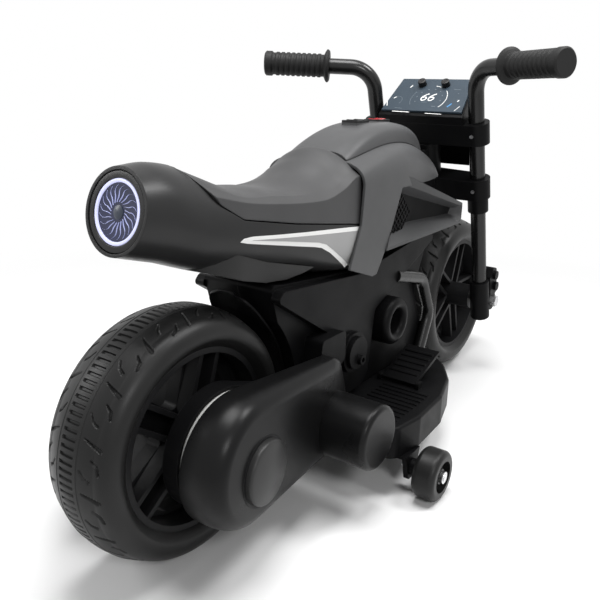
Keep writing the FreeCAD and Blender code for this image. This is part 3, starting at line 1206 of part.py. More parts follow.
headlamp = cylinder(S.lamp_radius, lamp_back, lamp_middle - Vector(1, 0, 0))
bulge = Part.makeSphere(90, lamp_middle + Vector(-84, 0, 0)).common(cylinder(S.lamp_radius, lamp_back, lamp_middle + Vector(20, 0, 0)))
keep(shaped("headlamp_lens", headlamp.fuse(bulge).removeSplitter(), FORK))

# Check every object, then write one file for each piece
doc.recompute()
for item in doc.Objects:
    if "Invalid" in item.State or "Error" in item.State:
        raise RuntimeError(f"{item.Label} failed to build: {item.State}")
for item in pieces:
    if item.Shape.isNull() or not item.Shape.isValid():
        raise RuntimeError(f"{item.Label} has no valid shape")
os.makedirs("parts", exist_ok=True)
for item in pieces:
    item.Shape.exportStep(os.path.join("parts", f"{item.Label}.step"))
print(len(pieces), "pieces")
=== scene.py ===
import json
import math

import bmesh
import bpy
import numpy as np
from mathutils import Matrix, Vector
from mathutils.bvhtree import BVHTree


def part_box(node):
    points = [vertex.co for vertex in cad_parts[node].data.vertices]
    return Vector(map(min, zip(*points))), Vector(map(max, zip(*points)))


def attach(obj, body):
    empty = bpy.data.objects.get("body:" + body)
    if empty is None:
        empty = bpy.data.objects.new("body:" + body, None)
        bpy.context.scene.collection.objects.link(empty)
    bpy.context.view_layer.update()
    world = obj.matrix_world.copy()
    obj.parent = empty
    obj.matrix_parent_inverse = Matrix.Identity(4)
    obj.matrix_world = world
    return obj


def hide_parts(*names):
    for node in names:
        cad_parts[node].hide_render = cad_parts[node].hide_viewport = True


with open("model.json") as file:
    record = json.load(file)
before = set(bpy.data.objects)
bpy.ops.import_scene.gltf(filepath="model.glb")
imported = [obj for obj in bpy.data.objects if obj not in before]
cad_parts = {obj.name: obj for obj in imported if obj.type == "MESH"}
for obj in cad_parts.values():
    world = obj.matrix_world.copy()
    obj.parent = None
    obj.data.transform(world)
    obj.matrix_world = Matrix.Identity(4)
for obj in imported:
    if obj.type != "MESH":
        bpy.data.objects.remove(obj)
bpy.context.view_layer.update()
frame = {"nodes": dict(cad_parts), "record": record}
NODES = frame["nodes"]
scene = bpy.context.scene
scene.view_settings.view_transform = "Standard"

# Camera at the photograph's place: heading, dip and roll, with the focal length for a 600 pixel frame
CAMERA_PLACE = Vector((-0.7107, -0.4409, 0.4458))
HEADING = math.radians(34.6)
DIP = math.radians(17.1)
ROLL = math.radians(1.3)
FOCAL_PIXELS = 668.4
FRAME_PIXELS = 600
FRAME_CENTRE = (312.4, 294.2)
SENSOR_MM = 36.0
NEAREST = 0.01


def add_camera():
    data = bpy.data.cameras.new("camera")
    data.sensor_width = SENSOR_MM
    data.lens = FOCAL_PIXELS / FRAME_PIXELS * SENSOR_MM
    data.shift_x = -(FRAME_CENTRE[0] / FRAME_PIXELS - 0.5)
    data.shift_y = FRAME_CENTRE[1] / FRAME_PIXELS - 0.5
    data.clip_start = NEAREST
    camera = bpy.data.objects.new("camera", data)
    scene.collection.objects.link(camera)
    ahead = Vector((math.cos(HEADING) * math.cos(DIP), math.sin(HEADING) * math.cos(DIP), -math.sin(DIP)))
    level = Vector((math.sin(HEADING), -math.cos(HEADING), 0))
    above = level.cross(ahead)
    right = level * math.cos(ROLL) + above * math.sin(ROLL)
    up = above * math.cos(ROLL) - level * math.sin(ROLL)
    turn = Matrix((right, up, -ahead)).transposed().to_4x4()
    camera.matrix_world = Matrix.Translation(CAMERA_PLACE) @ turn
    scene.camera = camera


# Materials: surfaces with a slow change of tone, patches of gloss and a fine grain
TONE_DETAIL = 3.0
TONE_BAND = (0.35, 0.65)
TONE_SCALE = 9.0
GLOSS_DETAIL = 5.0
GLOSS_BAND = (0.3, 0.7)
GLOSS_SCALE = 26.0
GRAIN_DETAIL = 2.0
GRAIN_DEPTH = 0.0004
EDGE = 0.0012
EDGE_SAMPLES = 4
METAL_SPREAD = 0.08
METAL_TONE_SCALE = 30.0
METAL_GLOSS_SCALE = 60.0
BRUSH_SCALE = 2200.0
BRUSH_DEPTH = 0.0002
LENS_TRANSMISSION = 0.9
LENS_IOR = 1.49
LENS_GRAIN = dict(scale=300.0, strength=0.03, depth=0.0003)
GLOW_ROUGHNESS = 0.35
GLOW_GLOSS = (0.3, 0.42)
GLOW_GLOSS_SCALE = 80.0


def new_material(name, colour, roughness, metallic=0.0):
    material = bpy.data.materials.new(name)
    material.use_nodes = True
    shader = material.node_tree.nodes["Principled BSDF"]
    shader.inputs["Base Color"].default_value = (*colour, 1.0)
    shader.inputs["Roughness"].default_value = roughness
    shader.inputs["Metallic"].default_value = metallic
    material.diffuse_color = (*colour, 1.0)
    return material, material.node_tree.nodes, material.node_tree.links, shader


def object_noise(nodes, links, scale, detail):
    """Noise in the object's own frame, so that it stays with the piece."""
    place = nodes.new("ShaderNodeTexCoord")
    noise = nodes.new("ShaderNodeTexNoise")
    noise.inputs["Scale"].default_value = scale
    noise.inputs["Detail"].default_value = detail
    links.new(place.outputs["Object"], noise.inputs["Vector"])
    return noise


def add_tone(nodes, links, shader, colour, spread, scale):
    """Slow change of tone over a surface, as moulded plastic shows."""
    noise = object_noise(nodes, links, scale, TONE_DETAIL)
    ramp = nodes.new("ShaderNodeValToRGB")
    for stop, position, factor in zip(ramp.color_ramp.elements, TONE_BAND, (1 - spread, 1 + spread)):
        stop.position = position
        stop.color = (*(c * factor for c in colour), 1)
    links.new(noise.outputs["Fac"], ramp.inputs["Fac"])
    links.new(ramp.outputs["Color"], shader.inputs["Base Color"])


def add_gloss_change(nodes, links, shader, gloss, scale):
    """Patches that are a little glossier than others, from handling and dust."""
    noise = object_noise(nodes, links, scale, GLOSS_DETAIL)
    change = nodes.new("ShaderNodeMapRange")
    for name, value in zip(("From Min", "From Max", "To Min", "To Max"), (*GLOSS_BAND, *gloss)):
        change.inputs[name].default_value = value
    links.new(noise.outputs["Fac"], change.inputs["Value"])
    links.new(change.outputs["Result"], shader.inputs["Roughness"])


def add_grain(nodes, links, shader, scale, strength, depth, edge=0.0):
    """Fine moulded grain as a bump, over edges that are a little rounded where asked."""
    noise = object_noise(nodes, links, scale, GRAIN_DETAIL)
    bump = nodes.new("ShaderNodeBump")
    if edge:
        soft = nodes.new("ShaderNodeBevel")
        soft.samples = EDGE_SAMPLES
        soft.inputs["Radius"].default_value = edge
        links.new(soft.outputs["Normal"], bump.inputs["Normal"])
    bump.inputs["Strength"].default_value = strength
    bump.inputs["Distance"].default_value = depth
    links.new(noise.outputs["Fac"], bump.inputs["Height"])
    links.new(bump.outputs["Normal"], shader.inputs["Normal"])


def math_step(nodes, links, operation, first, second):
    """Math node on a socket and another socket or number."""
    step = nodes.new("ShaderNodeMath")
    step.operation = operation
    links.new(first, step.inputs[0])
    if isinstance(second, float):
        step.inputs[1].default_value = second
    else:
        links.new(second, step.inputs[1])
    return step.outputs["Value"]


def moulded(name, colour, gloss, grain_scale=1400.0, grain=0.12, spread=0.12, level=0.5, edge=EDGE):
    material, nodes, links, shader = new_material(name, colour, sum(gloss) / 2)
    shader.inputs["Specular IOR Level"].default_value = level
    add_tone(nodes, links, shader, colour, spread, TONE_SCALE)
    add_gloss_change(nodes, links, shader, gloss, GLOSS_SCALE)
    add_grain(nodes, links, shader, grain_scale, grain, GRAIN_DEPTH, edge)
    return material


def tint_above(material, colour, height):
    """Second colour on one moulding from a height up, in metres."""
    nodes = material.node_tree.nodes
    links = material.node_tree.links
    shader = nodes["Principled BSDF"]
    place = nodes.new("ShaderNodeTexCoord")
    split = nodes.new("ShaderNodeSeparateXYZ")
    links.new(place.outputs["Object"], split.inputs[0])
    mix = nodes.new("ShaderNodeMix")
    mix.data_type = "RGBA"
    tint = [socket for socket in mix.inputs if socket.type == "RGBA"]
    tint[1].default_value = (*colour, 1)
    links.new(shader.inputs["Base Color"].links[0].from_socket, tint[0])
    links.new(math_step(nodes, links, "GREATER_THAN", split.outputs["Z"], height), mix.inputs[0])
    result = [socket for socket in mix.outputs if socket.type == "RGBA"][0]
    links.new(result, shader.inputs["Base Color"])
    return material


def metal(name, colour, gloss, brushed):
    material, nodes, links, shader = new_material(name, colour, sum(gloss) / 2, 1.0)
    add_tone(nodes, links, shader, colour, METAL_SPREAD, METAL_TONE_SCALE)
    add_gloss_change(nodes, links, shader, gloss, METAL_GLOSS_SCALE)
    add_grain(nodes, links, shader, BRUSH_SCALE, brushed, BRUSH_DEPTH)
    return material


def clear(name, colour, roughness):
    material, nodes, links, shader = new_material(name, colour, roughness)
    shader.inputs["Transmission Weight"].default_value = LENS_TRANSMISSION
    shader.inputs["IOR"].default_value = LENS_IOR
    add_grain(nodes, links, shader, **LENS_GRAIN)
    return material


def glowing(name, colour, strength):
    material, nodes, links, shader = new_material(name, colour, GLOW_ROUGHNESS)
    shader.inputs["Emission Color"].default_value = (*colour, 1.0)
    shader.inputs["Emission Strength"].default_value = strength
    add_gloss_change(nodes, links, shader, GLOW_GLOSS, GLOW_GLOSS_SCALE)
    return material


# Looks: a colour, the range of roughness and what differs from plain moulded plastic
GREY_TONE = (0.056, 0.0565, 0.058)
GREY_FINISH = dict(gloss=(0.36, 0.48), grain_scale=1800.0, grain=0.10, spread=0.06, level=0.26, edge=0.0018)
DEEP_TONE = (0.0055, 0.0055, 0.006)
SWITCH_FRAMES_FROM = 0.4073
FLAT_PRINT = dict(gloss=(0.34, 0.46), grain_scale=700.0, grain=0.04, spread=0.05, level=0.3, edge=0.0)
FILM = dict(grain_scale=500.0, grain=0.03, edge=0.0)
BLACK = moulded("black_plastic", (0.0036, 0.0036, 0.0039), (0.34, 0.48), level=0.07)
SHELL = moulded("black_shell", (0.0045, 0.0045, 0.0047), (0.26, 0.36), level=0.14)
# Tail plastic: the black shell lightened, a painted sheen standing in for the soft highlight along the tail
SHEEN_TAIL = moulded("tail_plastic_painted_sheen", (0.013, 0.013, 0.0133), (0.28, 0.38), level=0.24)
# Under-tail panel plastic: lighter than the black body, painted light standing in for light the panel
# catches from above
LIT_PANEL = moulded("panel_plastic_painted_light", (0.023, 0.023, 0.023), (0.40, 0.52), level=0.16)
CAP = moulded("hub_cap_plastic", (0.022, 0.022, 0.022), (0.32, 0.42), level=0.24)
SEAT = moulded("seat_plastic", (0.046, 0.046, 0.047), (0.42, 0.56), grain_scale=900.0, grain=0.28,
               level=0.22, edge=0.002)
TYRE = moulded("tyre_plastic", (0.0085, 0.0085, 0.0085), (0.32, 0.46), grain_scale=1000.0, grain=0.20,
               level=0.22, edge=0.0)
RIM = moulded("rim_plastic", (0.006, 0.006, 0.0065), (0.44, 0.58), level=0.18)
GREY = moulded("grey_plastic", GREY_TONE, **GREY_FINISH)
LID = tint_above(moulded("grey_lid", GREY_TONE, **GREY_FINISH), DEEP_TONE, SWITCH_FRAMES_FROM)
CASE = moulded("case_plastic", (0.42, 0.42, 0.41), (0.40, 0.55))
GEAR = moulded("gear_plastic", (0.72, 0.70, 0.64), (0.35, 0.50), edge=0.0)
RED = moulded("red_plastic", (0.42, 0.012, 0.018), (0.18, 0.28))
KNOB = moulded("knob_plastic", (0.006, 0.006, 0.0065), (0.22, 0.32), level=0.3)
RUBBER = moulded("grip_rubber", (0.0085, 0.0085, 0.0085), (0.50, 0.64), grain_scale=1600.0, grain=0.30,
                 level=0.22)
TUBE = moulded("painted_tube", (0.0055, 0.0055, 0.0055), (0.20, 0.30), grain_scale=700.0, grain=0.08,
               level=0.35, edge=0.0)
STEEL = metal("plated_steel", (0.62, 0.62, 0.63), (0.22, 0.36), brushed=0.12)
BATTERY = moulded("battery_case", (0.05, 0.05, 0.06), (0.40, 0.55))
LENS = clear("clear_lens", (0.92, 0.94, 1.0), roughness=0.06)
PRINT = moulded("dash_film", (0.034, 0.049, 0.065), (0.34, 0.44), spread=0.10, level=0.15, **FILM)
WHITE = moulded("white_print", (0.74, 0.74, 0.73), **FLAT_PRINT)
PALE = moulded("grey_print", (0.29, 0.29, 0.29), **FLAT_PRINT)
BLUE = moulded("blue_print", (0.05, 0.22, 0.46), **FLAT_PRINT)
FAINT = moulded("faint_print", (0.12, 0.146, 0.168), **FLAT_PRINT)
NAVY = moulded("lamp_field", (0.010, 0.015, 0.058), (0.16, 0.24), spread=0.3, **FILM)
GLOW = glowing("lamp_glow", (0.58, 0.60, 0.86), strength=0.42)
BLADE = glowing("lamp_blade", (0.40, 0.43, 0.68), strength=0.26)
VIOLET = glowing("lamp_hub", (0.014, 0.020, 0.034), strength=0.4)

SLOT_LOOKS = {
    "black_plastic": BLACK, "grey_plastic": GREY, "seat_plastic": SEAT, "tyre_plastic": TYRE,
    "red_plastic": RED, "case_plastic": CASE, "gear_plastic": GEAR, "black_tube": TUBE,
    "bright_steel": STEEL, "battery_case": BATTERY, "clear_lens": LENS, "dash_print": PRINT,
    "knob_plastic": KNOB, "grip_rubber": RUBBER,
}
NODE_LOOKS = {
    "motor_pod": SHELL, "front_rim": RIM, "rear_rim": RIM, "tank_lid": LID, "gearbox_inner_case": BLACK,
}


def dress_nodes():
    for entry in frame["record"]["subparts"]:
        node = entry["node"]
        look = NODE_LOOKS.get(node, SLOT_LOOKS[entry["material_slot"]])
        mesh = NODES[node].data
        mesh.materials.clear()
        mesh.materials.append(look)


# Mesh helpers: shapes are given in millimetres and stored in metres
MM = 0.001
MERGE = 0.00001
TURN_STEPS = 96
HANDS = ((-1, "right"), (1, "left"))


def add_piece(name, points, faces, looks, body, sharp, face_looks=None):
    mesh = bpy.data.meshes.new(name)
    mesh.from_pydata([tuple(c * MM for c in p) for p in points], [], faces)
    for look in looks:
        mesh.materials.append(look)
    if face_looks is not None:
        mesh.polygons.foreach_set("material_index", face_looks)
    work = bmesh.new()
    work.from_mesh(mesh)
    bmesh.ops.remove_doubles(work, verts=work.verts, dist=MERGE)
    bmesh.ops.dissolve_degenerate(work, edges=work.edges, dist=MERGE)
    bmesh.ops.recalc_face_normals(work, faces=work.faces)
    work.to_mesh(mesh)
    work.free()
    mesh.polygons.foreach_set("use_smooth", [True] * len(mesh.polygons))
    mesh.set_sharp_from_angle(angle=math.radians(sharp))
    piece = bpy.data.objects.new(name, mesh)
    scene.collection.objects.link(piece)
    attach(piece, body)
    return piece


def grid_faces(rows, columns, loop_rows, loop_columns):
    """Quads over a grid of points, joined up across its ends where asked."""
    faces = []
    for i in range(rows if loop_rows else rows - 1):
        for j in range(columns if loop_columns else columns - 1):
            a = i * columns + j
            b = i * columns + (j + 1) % columns
            c = (i + 1) % rows * columns + (j + 1) % columns
            d = (i + 1) % rows * columns + j
            faces.append((a, b, c, d))
    return faces


def tube_faces(rows, columns):
    """Quads through rows of points that each close on themselves, with a flat face at both ends."""
    last = (rows - 1) * columns
    ends = [tuple(range(columns)), tuple(range(last, last + columns))]
    return grid_faces(rows, columns, False, True) + ends


def closed_form(name, rows, looks, body, sharp):
    """Solid through rows of points that each close on themselves."""
    points = [point for row in rows for point in row]
    return add_piece(name, points, tube_faces(len(rows), len(rows[0])), looks, body, sharp)


def turned(profile, place):
    """Closed profile of (depth, radius) turned about the line that a placing function draws."""
    points = []
    for depth, radius in profile:
        for n in range(TURN_STEPS):
            angle = 2 * math.pi * n / TURN_STEPS
            points.append(place(depth, radius * math.cos(angle), radius * math.sin(angle)))
    return points, grid_faces(len(profile), TURN_STEPS, True, True)


def join(shapes):
    """One list of points and one of faces from several shapes."""
    points = []
    faces = []
    for new_points, new_faces in shapes:
        first = len(points)
        points += new_points
        faces += [tuple(first + k for k in face) for face in new_faces]
    return points, faces


def lengths_along(line):
    """Length from a line's first point to each of its points."""
    return np.concatenate([[0], np.cumsum(np.hypot(*np.diff(line, axis=0).T))])


# Tyres: a turned section with moulded grooves
TYRE_RADIUS = 125.0
CROWN_RADIUS = 68.3
CROWN_CENTRE = TYRE_RADIUS - CROWN_RADIUS
CROWN_HALF = 28.0
SIDE_POINTS = ((119.0, 28.0), (111.5, 39.4), (97.0, 41.0))
BEAD = (90.0, 34.0)
ARC_STEPS = 40
TREAD_SLOTS = 112
SLOT_STEPS = 8
SHOULDER_REPEATS = 16
TYRE_STEPS = TREAD_SLOTS * SLOT_STEPS
SLOT_HALF_LENGTH = 8.0
SLOT_HALF_WIDTH = 1.3
SLOT_DEPTH = 1.8
PART_LINE = 12.3
PART_LINE_RISE = 0.35
PART_LINE_NEAR = 0.1
GROOVE_EDGE = 0.45
# Each groove: places along the tyre and across it with half widths there, and a depth
GROOVES = (
    (((2, 17, 0.4), (9, 33, 1.9)), 2.2),
    (((19, 26, 0.5), (24, 32, 1.3), (31, 34, 0.9)), 2.0),
    (((30, 16, 0.4), (36, 20, 0.9), (39, 25, 1.2)), 1.8),
)
# Rows of the mesh, as lengths along the section from the crown, or from the part line
MIDDLE_ROWS = (0, 2.5, 5, 7, SLOT_HALF_LENGTH, SLOT_HALF_LENGTH + 0.7, 10.5)
PART_LINE_ROWS = np.array((-0.7, -0.3, 0, 0.3, 0.7))
SHOULDER_ROWS = np.arange(14.0, 36.5, 0.75)
SIDE_FROM = 38.0
SIDE_STEP = 3.0


def three_point_arc(first, middle, last, steps):
    """Points on the circle through three points."""
    (ax, ay), (bx, by), (cx, cy) = first, middle, last
    a, b, c = (x ** 2 + y ** 2 for x, y in (first, middle, last))
    d = 2 * (ax * (by - cy) + bx * (cy - ay) + cx * (ay - by))
    ux = (a * (by - cy) + b * (cy - ay) + c * (ay - by)) / d
    uy = (a * (cx - bx) + b * (ax - cx) + c * (bx - ax)) / d
    radius = math.hypot(ax - ux, ay - uy)
    begin = math.atan2(ay - uy, ax - ux)
    sweep = (math.atan2(cy - uy, cx - ux) - begin + math.pi) % (2 * math.pi) - math.pi
    turns = [begin + sweep * n / steps for n in range(steps + 1)]
    return [(ux + radius * math.cos(turn), uy + radius * math.sin(turn)) for turn in turns]


def tyre_half():
    """Half section from the crown to the bead: radius, distance across, and length along the surface."""
    edge = math.asin(CROWN_HALF / CROWN_RADIUS)
    turns = [edge * n / ARC_STEPS for n in range(ARC_STEPS + 1)]
    line = [(CROWN_CENTRE + CROWN_RADIUS * math.cos(turn), CROWN_RADIUS * math.sin(turn)) for turn in turns]
    line = np.array(line + three_point_arc(*SIDE_POINTS, ARC_STEPS)[1:] + [BEAD])
    run = lengths_along(line)
    side_rows = np.arange(SIDE_FROM, run[-2], SIDE_STEP)
    wanted = np.concatenate([MIDDLE_ROWS, PART_LINE + PART_LINE_ROWS, SHOULDER_ROWS, side_rows, run[-2:]])
    return np.interp(wanted, run, line[:, 0]), np.interp(wanted, run, line[:, 1]), wanted


def groove_depth(along, across):
    """Depth of the shoulder grooves at places of one repeat."""
    depth = np.zeros(np.broadcast(along, across).shape)
    for stops, deepest in GROOVES:
        for (a0, s0, w0), (a1, s1, w1) in zip(stops, stops[1:]):
            da, ds = a1 - a0, s1 - s0
            t = np.clip(((along - a0) * da + (across - s0) * ds) / (da * da + ds * ds), 0, 1)
            gap = np.hypot(along - a0 - t * da, across - s0 - t * ds) - (w0 + (w1 - w0) * t)
            depth = np.maximum(depth, deepest * np.clip(0.5 - gap / (2 * GROOVE_EDGE), 0, 1))
    return depth


def make_tyre(name, node, body):
    low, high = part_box(node)
    centre = ((low[0] + high[0]) / 2 / MM, (low[2] + high[2]) / 2 / MM)
    radius, across, run = tyre_half()
    pitch = 2 * math.pi * TYRE_RADIUS / SHOULDER_REPEATS
    columns = TYRE_STEPS // SHOULDER_REPEATS
    along = np.arange(columns) * pitch / columns
    shoulder = np.tile(groove_depth(along[None, :], run[:, None]), SHOULDER_REPEATS)
    slot_place = (np.arange(TYRE_STEPS) % SLOT_STEPS) * 2 * math.pi * TYRE_RADIUS / TYRE_STEPS
    slot_place = np.minimum(slot_place, 2 * math.pi * TYRE_RADIUS / TREAD_SLOTS - slot_place)
    in_slot = (slot_place[None, :] < SLOT_HALF_WIDTH) & (run[:, None] <= SLOT_HALF_LENGTH)
    ridge = PART_LINE_RISE * (np.abs(run - PART_LINE) < PART_LINE_NEAR)
    depth = shoulder + SLOT_DEPTH * in_slot - ridge[:, None]
    slope_r, slope_y = np.gradient(radius), np.gradient(across)
    size = np.hypot(slope_r, slope_y)
    normal_r, normal_y = slope_y / size, -slope_r / size
    angle = np.arange(TYRE_STEPS) * 2 * math.pi / TYRE_STEPS
    points = []
    for side, order in ((-1, range(len(run) - 1, 0, -1)), (1, range(len(run)))):
        for i in order:
            r = radius[i] - normal_r[i] * depth[i]
            y = side * (across[i] - normal_y[i] * depth[i])
            points += list(zip(centre[0] + r * np.cos(angle), y, centre[1] + r * np.sin(angle)))
    faces = grid_faces(2 * len(run) - 1, TYRE_STEPS, True, True)
    tyre = add_piece(name, points, faces, [TYRE], body, sharp=30.0)
    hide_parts(node)


# Tail and seat: moulded forms laid through cross-sections along the bike
TAIL_END = Vector((-358.0, 0.0, 346.0))
TAIL_LEAN = math.radians(13.0)
TAIL_AHEAD = Vector((math.cos(TAIL_LEAN), 0, -math.sin(TAIL_LEAN)))
TAIL_UP = Vector((math.sin(TAIL_LEAN), 0, math.cos(TAIL_LEAN)))
TAIL_RADIUS = 37.7
LENS_RADIUS = 34.7
LENS_ROOM = 6.0
LEAN_REACH = 33.0
SEAM = ((-420, 400), (-304, 388), (-275, 345.5), (-252, 330.5), (-184, 318), (-60, 300.4))
SEAM_GAP = 1.2
SEAT_REAR = -296.5
SEAT_FRONT = -54.0
SEAT_FLOOR = 285.0
TAIL_FRONT = -66.0
TAIL_COLUMNS = 44
TAIL_OUTLINE_STEPS = 400
ROW_STEP = 3.0
# Each section: place along the bike, half width, waist height, top, bottom, fullness above and below
TAIL_SECTIONS = (
    (-358, 37.7, 346, 383.7, 308.3, 2.0, 2.0),
    (-325, 41.5, 338, 384, 297, 1.9, 2.1),
    (-290, 45.5, 324, 377, 284, 1.75, 2.1),
    (-250, 50, 316, 359, 271, 2.3, 2.0),
    (-205, 55, 311, 350, 260, 3.4, 2.1),
    (-160, 59, 306, 347, 254, 4.2, 2.6),
    (-115, 62, 304, 361, 249, 4.2, 4.0),
    (-73, 64, 304, 380, 246, 3.8, 6.0),
    (-60, 64, 304, 384, 246, 3.8, 6.0),
)
# Each section: place, crown height, then half width and height of top edge, bevel's foot and waist
SEAT_SECTIONS = (
    (-304, 381, 22, 368, 33, 359, 44, 327),
    (-275, 369, 33, 359, 40, 352, 47, 320),
    (-250, 359, 41, 350.5, 45.5, 345.5, 50, 316),
    (-205, 352.3, 44, 346, 51.5, 339.3, 54.6, 311),
    (-160, 349.5, 49, 342.6, 56.5, 335.8, 58.6, 306),
    (-130, 358, 51, 342.4, 59.3, 336.2, 60.8, 304),
    (-103, 371.5, 51.5, 348.6, 60.4, 343.2, 62.2, 304),
    (-73, 382, 51.5, 361, 60.8, 355, 63.6, 304),
    (-54, 366, 50, 352, 58.5, 347, 61.5, 304),
)
SEAT_STEPS = (3, 9, 4, 16)


def between_sections(sections, places):
    """Sections at any places, on smooth curves through the given ones."""
    table = np.array(sections, float)
    x = table[:, 0]
    slopes = np.gradient(table, x, axis=0)
    index = np.clip(np.searchsorted(x, places) - 1, 0, len(x) - 2)
    span = (x[index + 1] - x[index])[:, None]
    t = (places - x[index])[:, None] / span
    return ((1 + 2 * t) * (1 - t) ** 2 * table[index] + t * (1 - t) ** 2 * span * slopes[index]
            + t * t * (3 - 2 * t) * table[index + 1] + t * t * (t - 1) * span * slopes[index + 1])


def seam_height(x):
    return float(np.interp(x, *np.array(SEAM).T))


def both_sides(x, y, z):
    """Row of points over both sides of the bike, for a half row that starts at the middle."""
    half = list(zip(x, y, z))
    return [(a, -b, c) for a, b, c in half[:0:-1]] + half


def tail_row(section):
    x, half, waist, top, bottom, top_power, bottom_power = section
    angle = np.linspace(-math.pi / 2, math.pi / 2, TAIL_OUTLINE_STEPS)
    across = np.cos(angle)
    up = np.sin(angle)
    power = np.where(up >= 0, top_power, bottom_power)
    reach = (np.abs(across) ** power + np.abs(up) ** power) ** (-1 / power)
    y = half * reach * across
    z = waist + np.where(up >= 0, top - waist, waist - bottom) * reach * up
    run = lengths_along(np.stack([y, z], axis=1))
    last = np.interp(min(seam_height(x) - SEAM_GAP, top), z, run)
    places = np.linspace(0, last, TAIL_COLUMNS)
    y = np.interp(places, run, y)
    z = np.interp(places, run, z)
    lean = max(0.0, (TAIL_END.x + LEAN_REACH - x) / LEAN_REACH)
    rise = z - TAIL_END.z
    return both_sides(x + rise * math.tan(TAIL_LEAN) * lean, y,
                      TAIL_END.z + rise * (1 - lean * (1 - math.cos(TAIL_LEAN))))


def make_tail():
    places = np.arange(TAIL_END.x, TAIL_FRONT, ROW_STEP)
    rows = [tail_row(section) for section in between_sections(TAIL_SECTIONS, places)]
    rim = [Vector(point) - TAIL_END for point in rows[0]]
    rim = [TAIL_END + point * (LENS_RADIUS / TAIL_RADIUS) for point in rim]
    floor = [tuple(point + TAIL_AHEAD * LENS_ROOM) for point in rim]
    rows = [floor, [tuple(point) for point in rim]] + rows
    tail = closed_form("tail_moulding", rows, [SHEEN_TAIL], "chassis", sharp=30.0)
    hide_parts("tail_shell_left", "tail_shell_right")
    return tail


def seat_row(section):
    x, crown, edge_y, edge_z, foot_y, foot_z, waist_y, waist_z = section
    corners = ((waist_y, SEAT_FLOOR), (waist_y, waist_z), (foot_y, foot_z), (edge_y, edge_z))
    y, z = [], []
    for (y0, z0), (y1, z1), steps in zip(corners, corners[1:], SEAT_STEPS):
        y += list(np.linspace(y0, y1, steps, endpoint=False))
        z += list(np.linspace(z0, z1, steps, endpoint=False))
    rise = crown - edge_z
    radius = (edge_y ** 2 + rise ** 2) / (2 * rise)
    angle = np.linspace(math.asin(edge_y / radius), 0, SEAT_STEPS[-1])
    y = np.concatenate([y, radius * np.sin(angle)])[::-1]
    z = np.concatenate([z, crown - radius + radius * np.cos(angle)])[::-1]
    limit = min(seam_height(x), crown)
    cut = np.interp(limit, z[::-1], y[::-1])
    y = np.where(z < limit, cut, y)
    return both_sides(np.full(len(y), x), y, np.maximum(z, limit))


def make_seat():
    places = np.append(np.arange(SEAT_REAR, SEAT_FRONT, ROW_STEP), SEAT_FRONT)
    rows = [seat_row(section) for section in between_sections(SEAT_SECTIONS, places)]
    seat = closed_form("seat_moulding", rows, [SEAT], "chassis", sharp=24.0)
    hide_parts("seat")


# Bulkhead: a wall that closes the tank cover's rear end, with the seat's front end through it
BULKHEAD = (-69.5, -66.5)
BULKHEAD_HALF = 64.6
BULKHEAD_WAIST = 338.0
BULKHEAD_TOP = 366.8
BULKHEAD_FULLNESS = 3.0
BULKHEAD_STEPS = 40


def make_bulkhead():
    rows = []
    for x in BULKHEAD:
        row = []
        for n in range(BULKHEAD_STEPS + 1):
            angle = math.pi * n / BULKHEAD_STEPS
            across = math.cos(angle)
            up = math.sin(angle)
            reach = (abs(across) ** BULKHEAD_FULLNESS + up ** BULKHEAD_FULLNESS) ** (-1 / BULKHEAD_FULLNESS)
            z = BULKHEAD_WAIST + (BULKHEAD_TOP - BULKHEAD_WAIST) * reach * up
            row.append((x, BULKHEAD_HALF * reach * across, z))
        rows.append(row + [(x, -BULKHEAD_HALF, SEAT_FLOOR), (x, BULKHEAD_HALF, SEAT_FLOOR)])
    closed_form("tank_bulkhead", rows, [BLACK], "chassis", sharp=40.0)


# Covers beside the rear wheel: a belt round three circles that rounds over to a leaning face
COVER_CIRCLES = ((-302.5, 121.0, 64.0), (-152.3, 95.8, 37.4), (-155.5, 145.0, 26.0))
COVER_INNER = 70.0
COVER_SIDE = 82.0
COVER_ROUND = 16.0
COVER_LEAN = math.radians(6.6)
COVER_PIVOT = -95.5
COVER_ROUND_STEPS = 8
COVER_ARC_STEPS = 40
CAP_MIDDLE = (-296.0, 112.5)
CAP_CENTRE_RADIUS = 0.2
CAP_RADIUS = 31.0
CAP_INSET = 2.4
CAP_WALL = 7.0
CAP_CROWN = 3.6
CAP_BACK = -2.0
CAP_STEPS = 10
# The cap's rounded edge: how far below its wall's top and inside its radius each point lies
CAP_EDGE = ((0.5, 1.1), (1.5, 0.3), (2.8, 0.0))
# Dark ring round the cap: a thin raised disc in rim plastic, painted shadow of the recess round the cap
CAP_SHADE_RING = 34.2
SHADE_RING_RISE = 0.35
SHADE_RING_LIP = 0.8
SHADE_RING_BACK = -3.0


def belt(inset):
    """Outline round the cover's three circles, all drawn in alike."""
    normals = []
    count = len(COVER_CIRCLES)
    for index, (x, z, radius) in enumerate(COVER_CIRCLES):
        x_next, z_next, radius_next = COVER_CIRCLES[(index + 1) % count]
        run = math.hypot(x_next - x, z_next - z)
        heading = math.atan2(z_next - z, x_next - x)
        normals.append(heading - math.acos((radius - radius_next) / run))
    outline = []
    for index, (x, z, radius) in enumerate(COVER_CIRCLES):
        begin = normals[index - 1]
        sweep = (normals[index] - begin) % (2 * math.pi)
        for n in range(COVER_ARC_STEPS + 1):
            turn = begin + sweep * n / COVER_ARC_STEPS
            outline.append((x + (radius - inset) * math.cos(turn), z + (radius - inset) * math.sin(turn)))
    return outline


def leaning(x, depth, lean):
    """Place on a plane turned about the upright line at the cover's pivot: along the bike and outwards."""
    run = x - COVER_PIVOT
    return (COVER_PIVOT + run * math.cos(lean) + depth * math.sin(lean),
            COVER_SIDE - run * math.sin(lean) + depth * math.cos(lean))


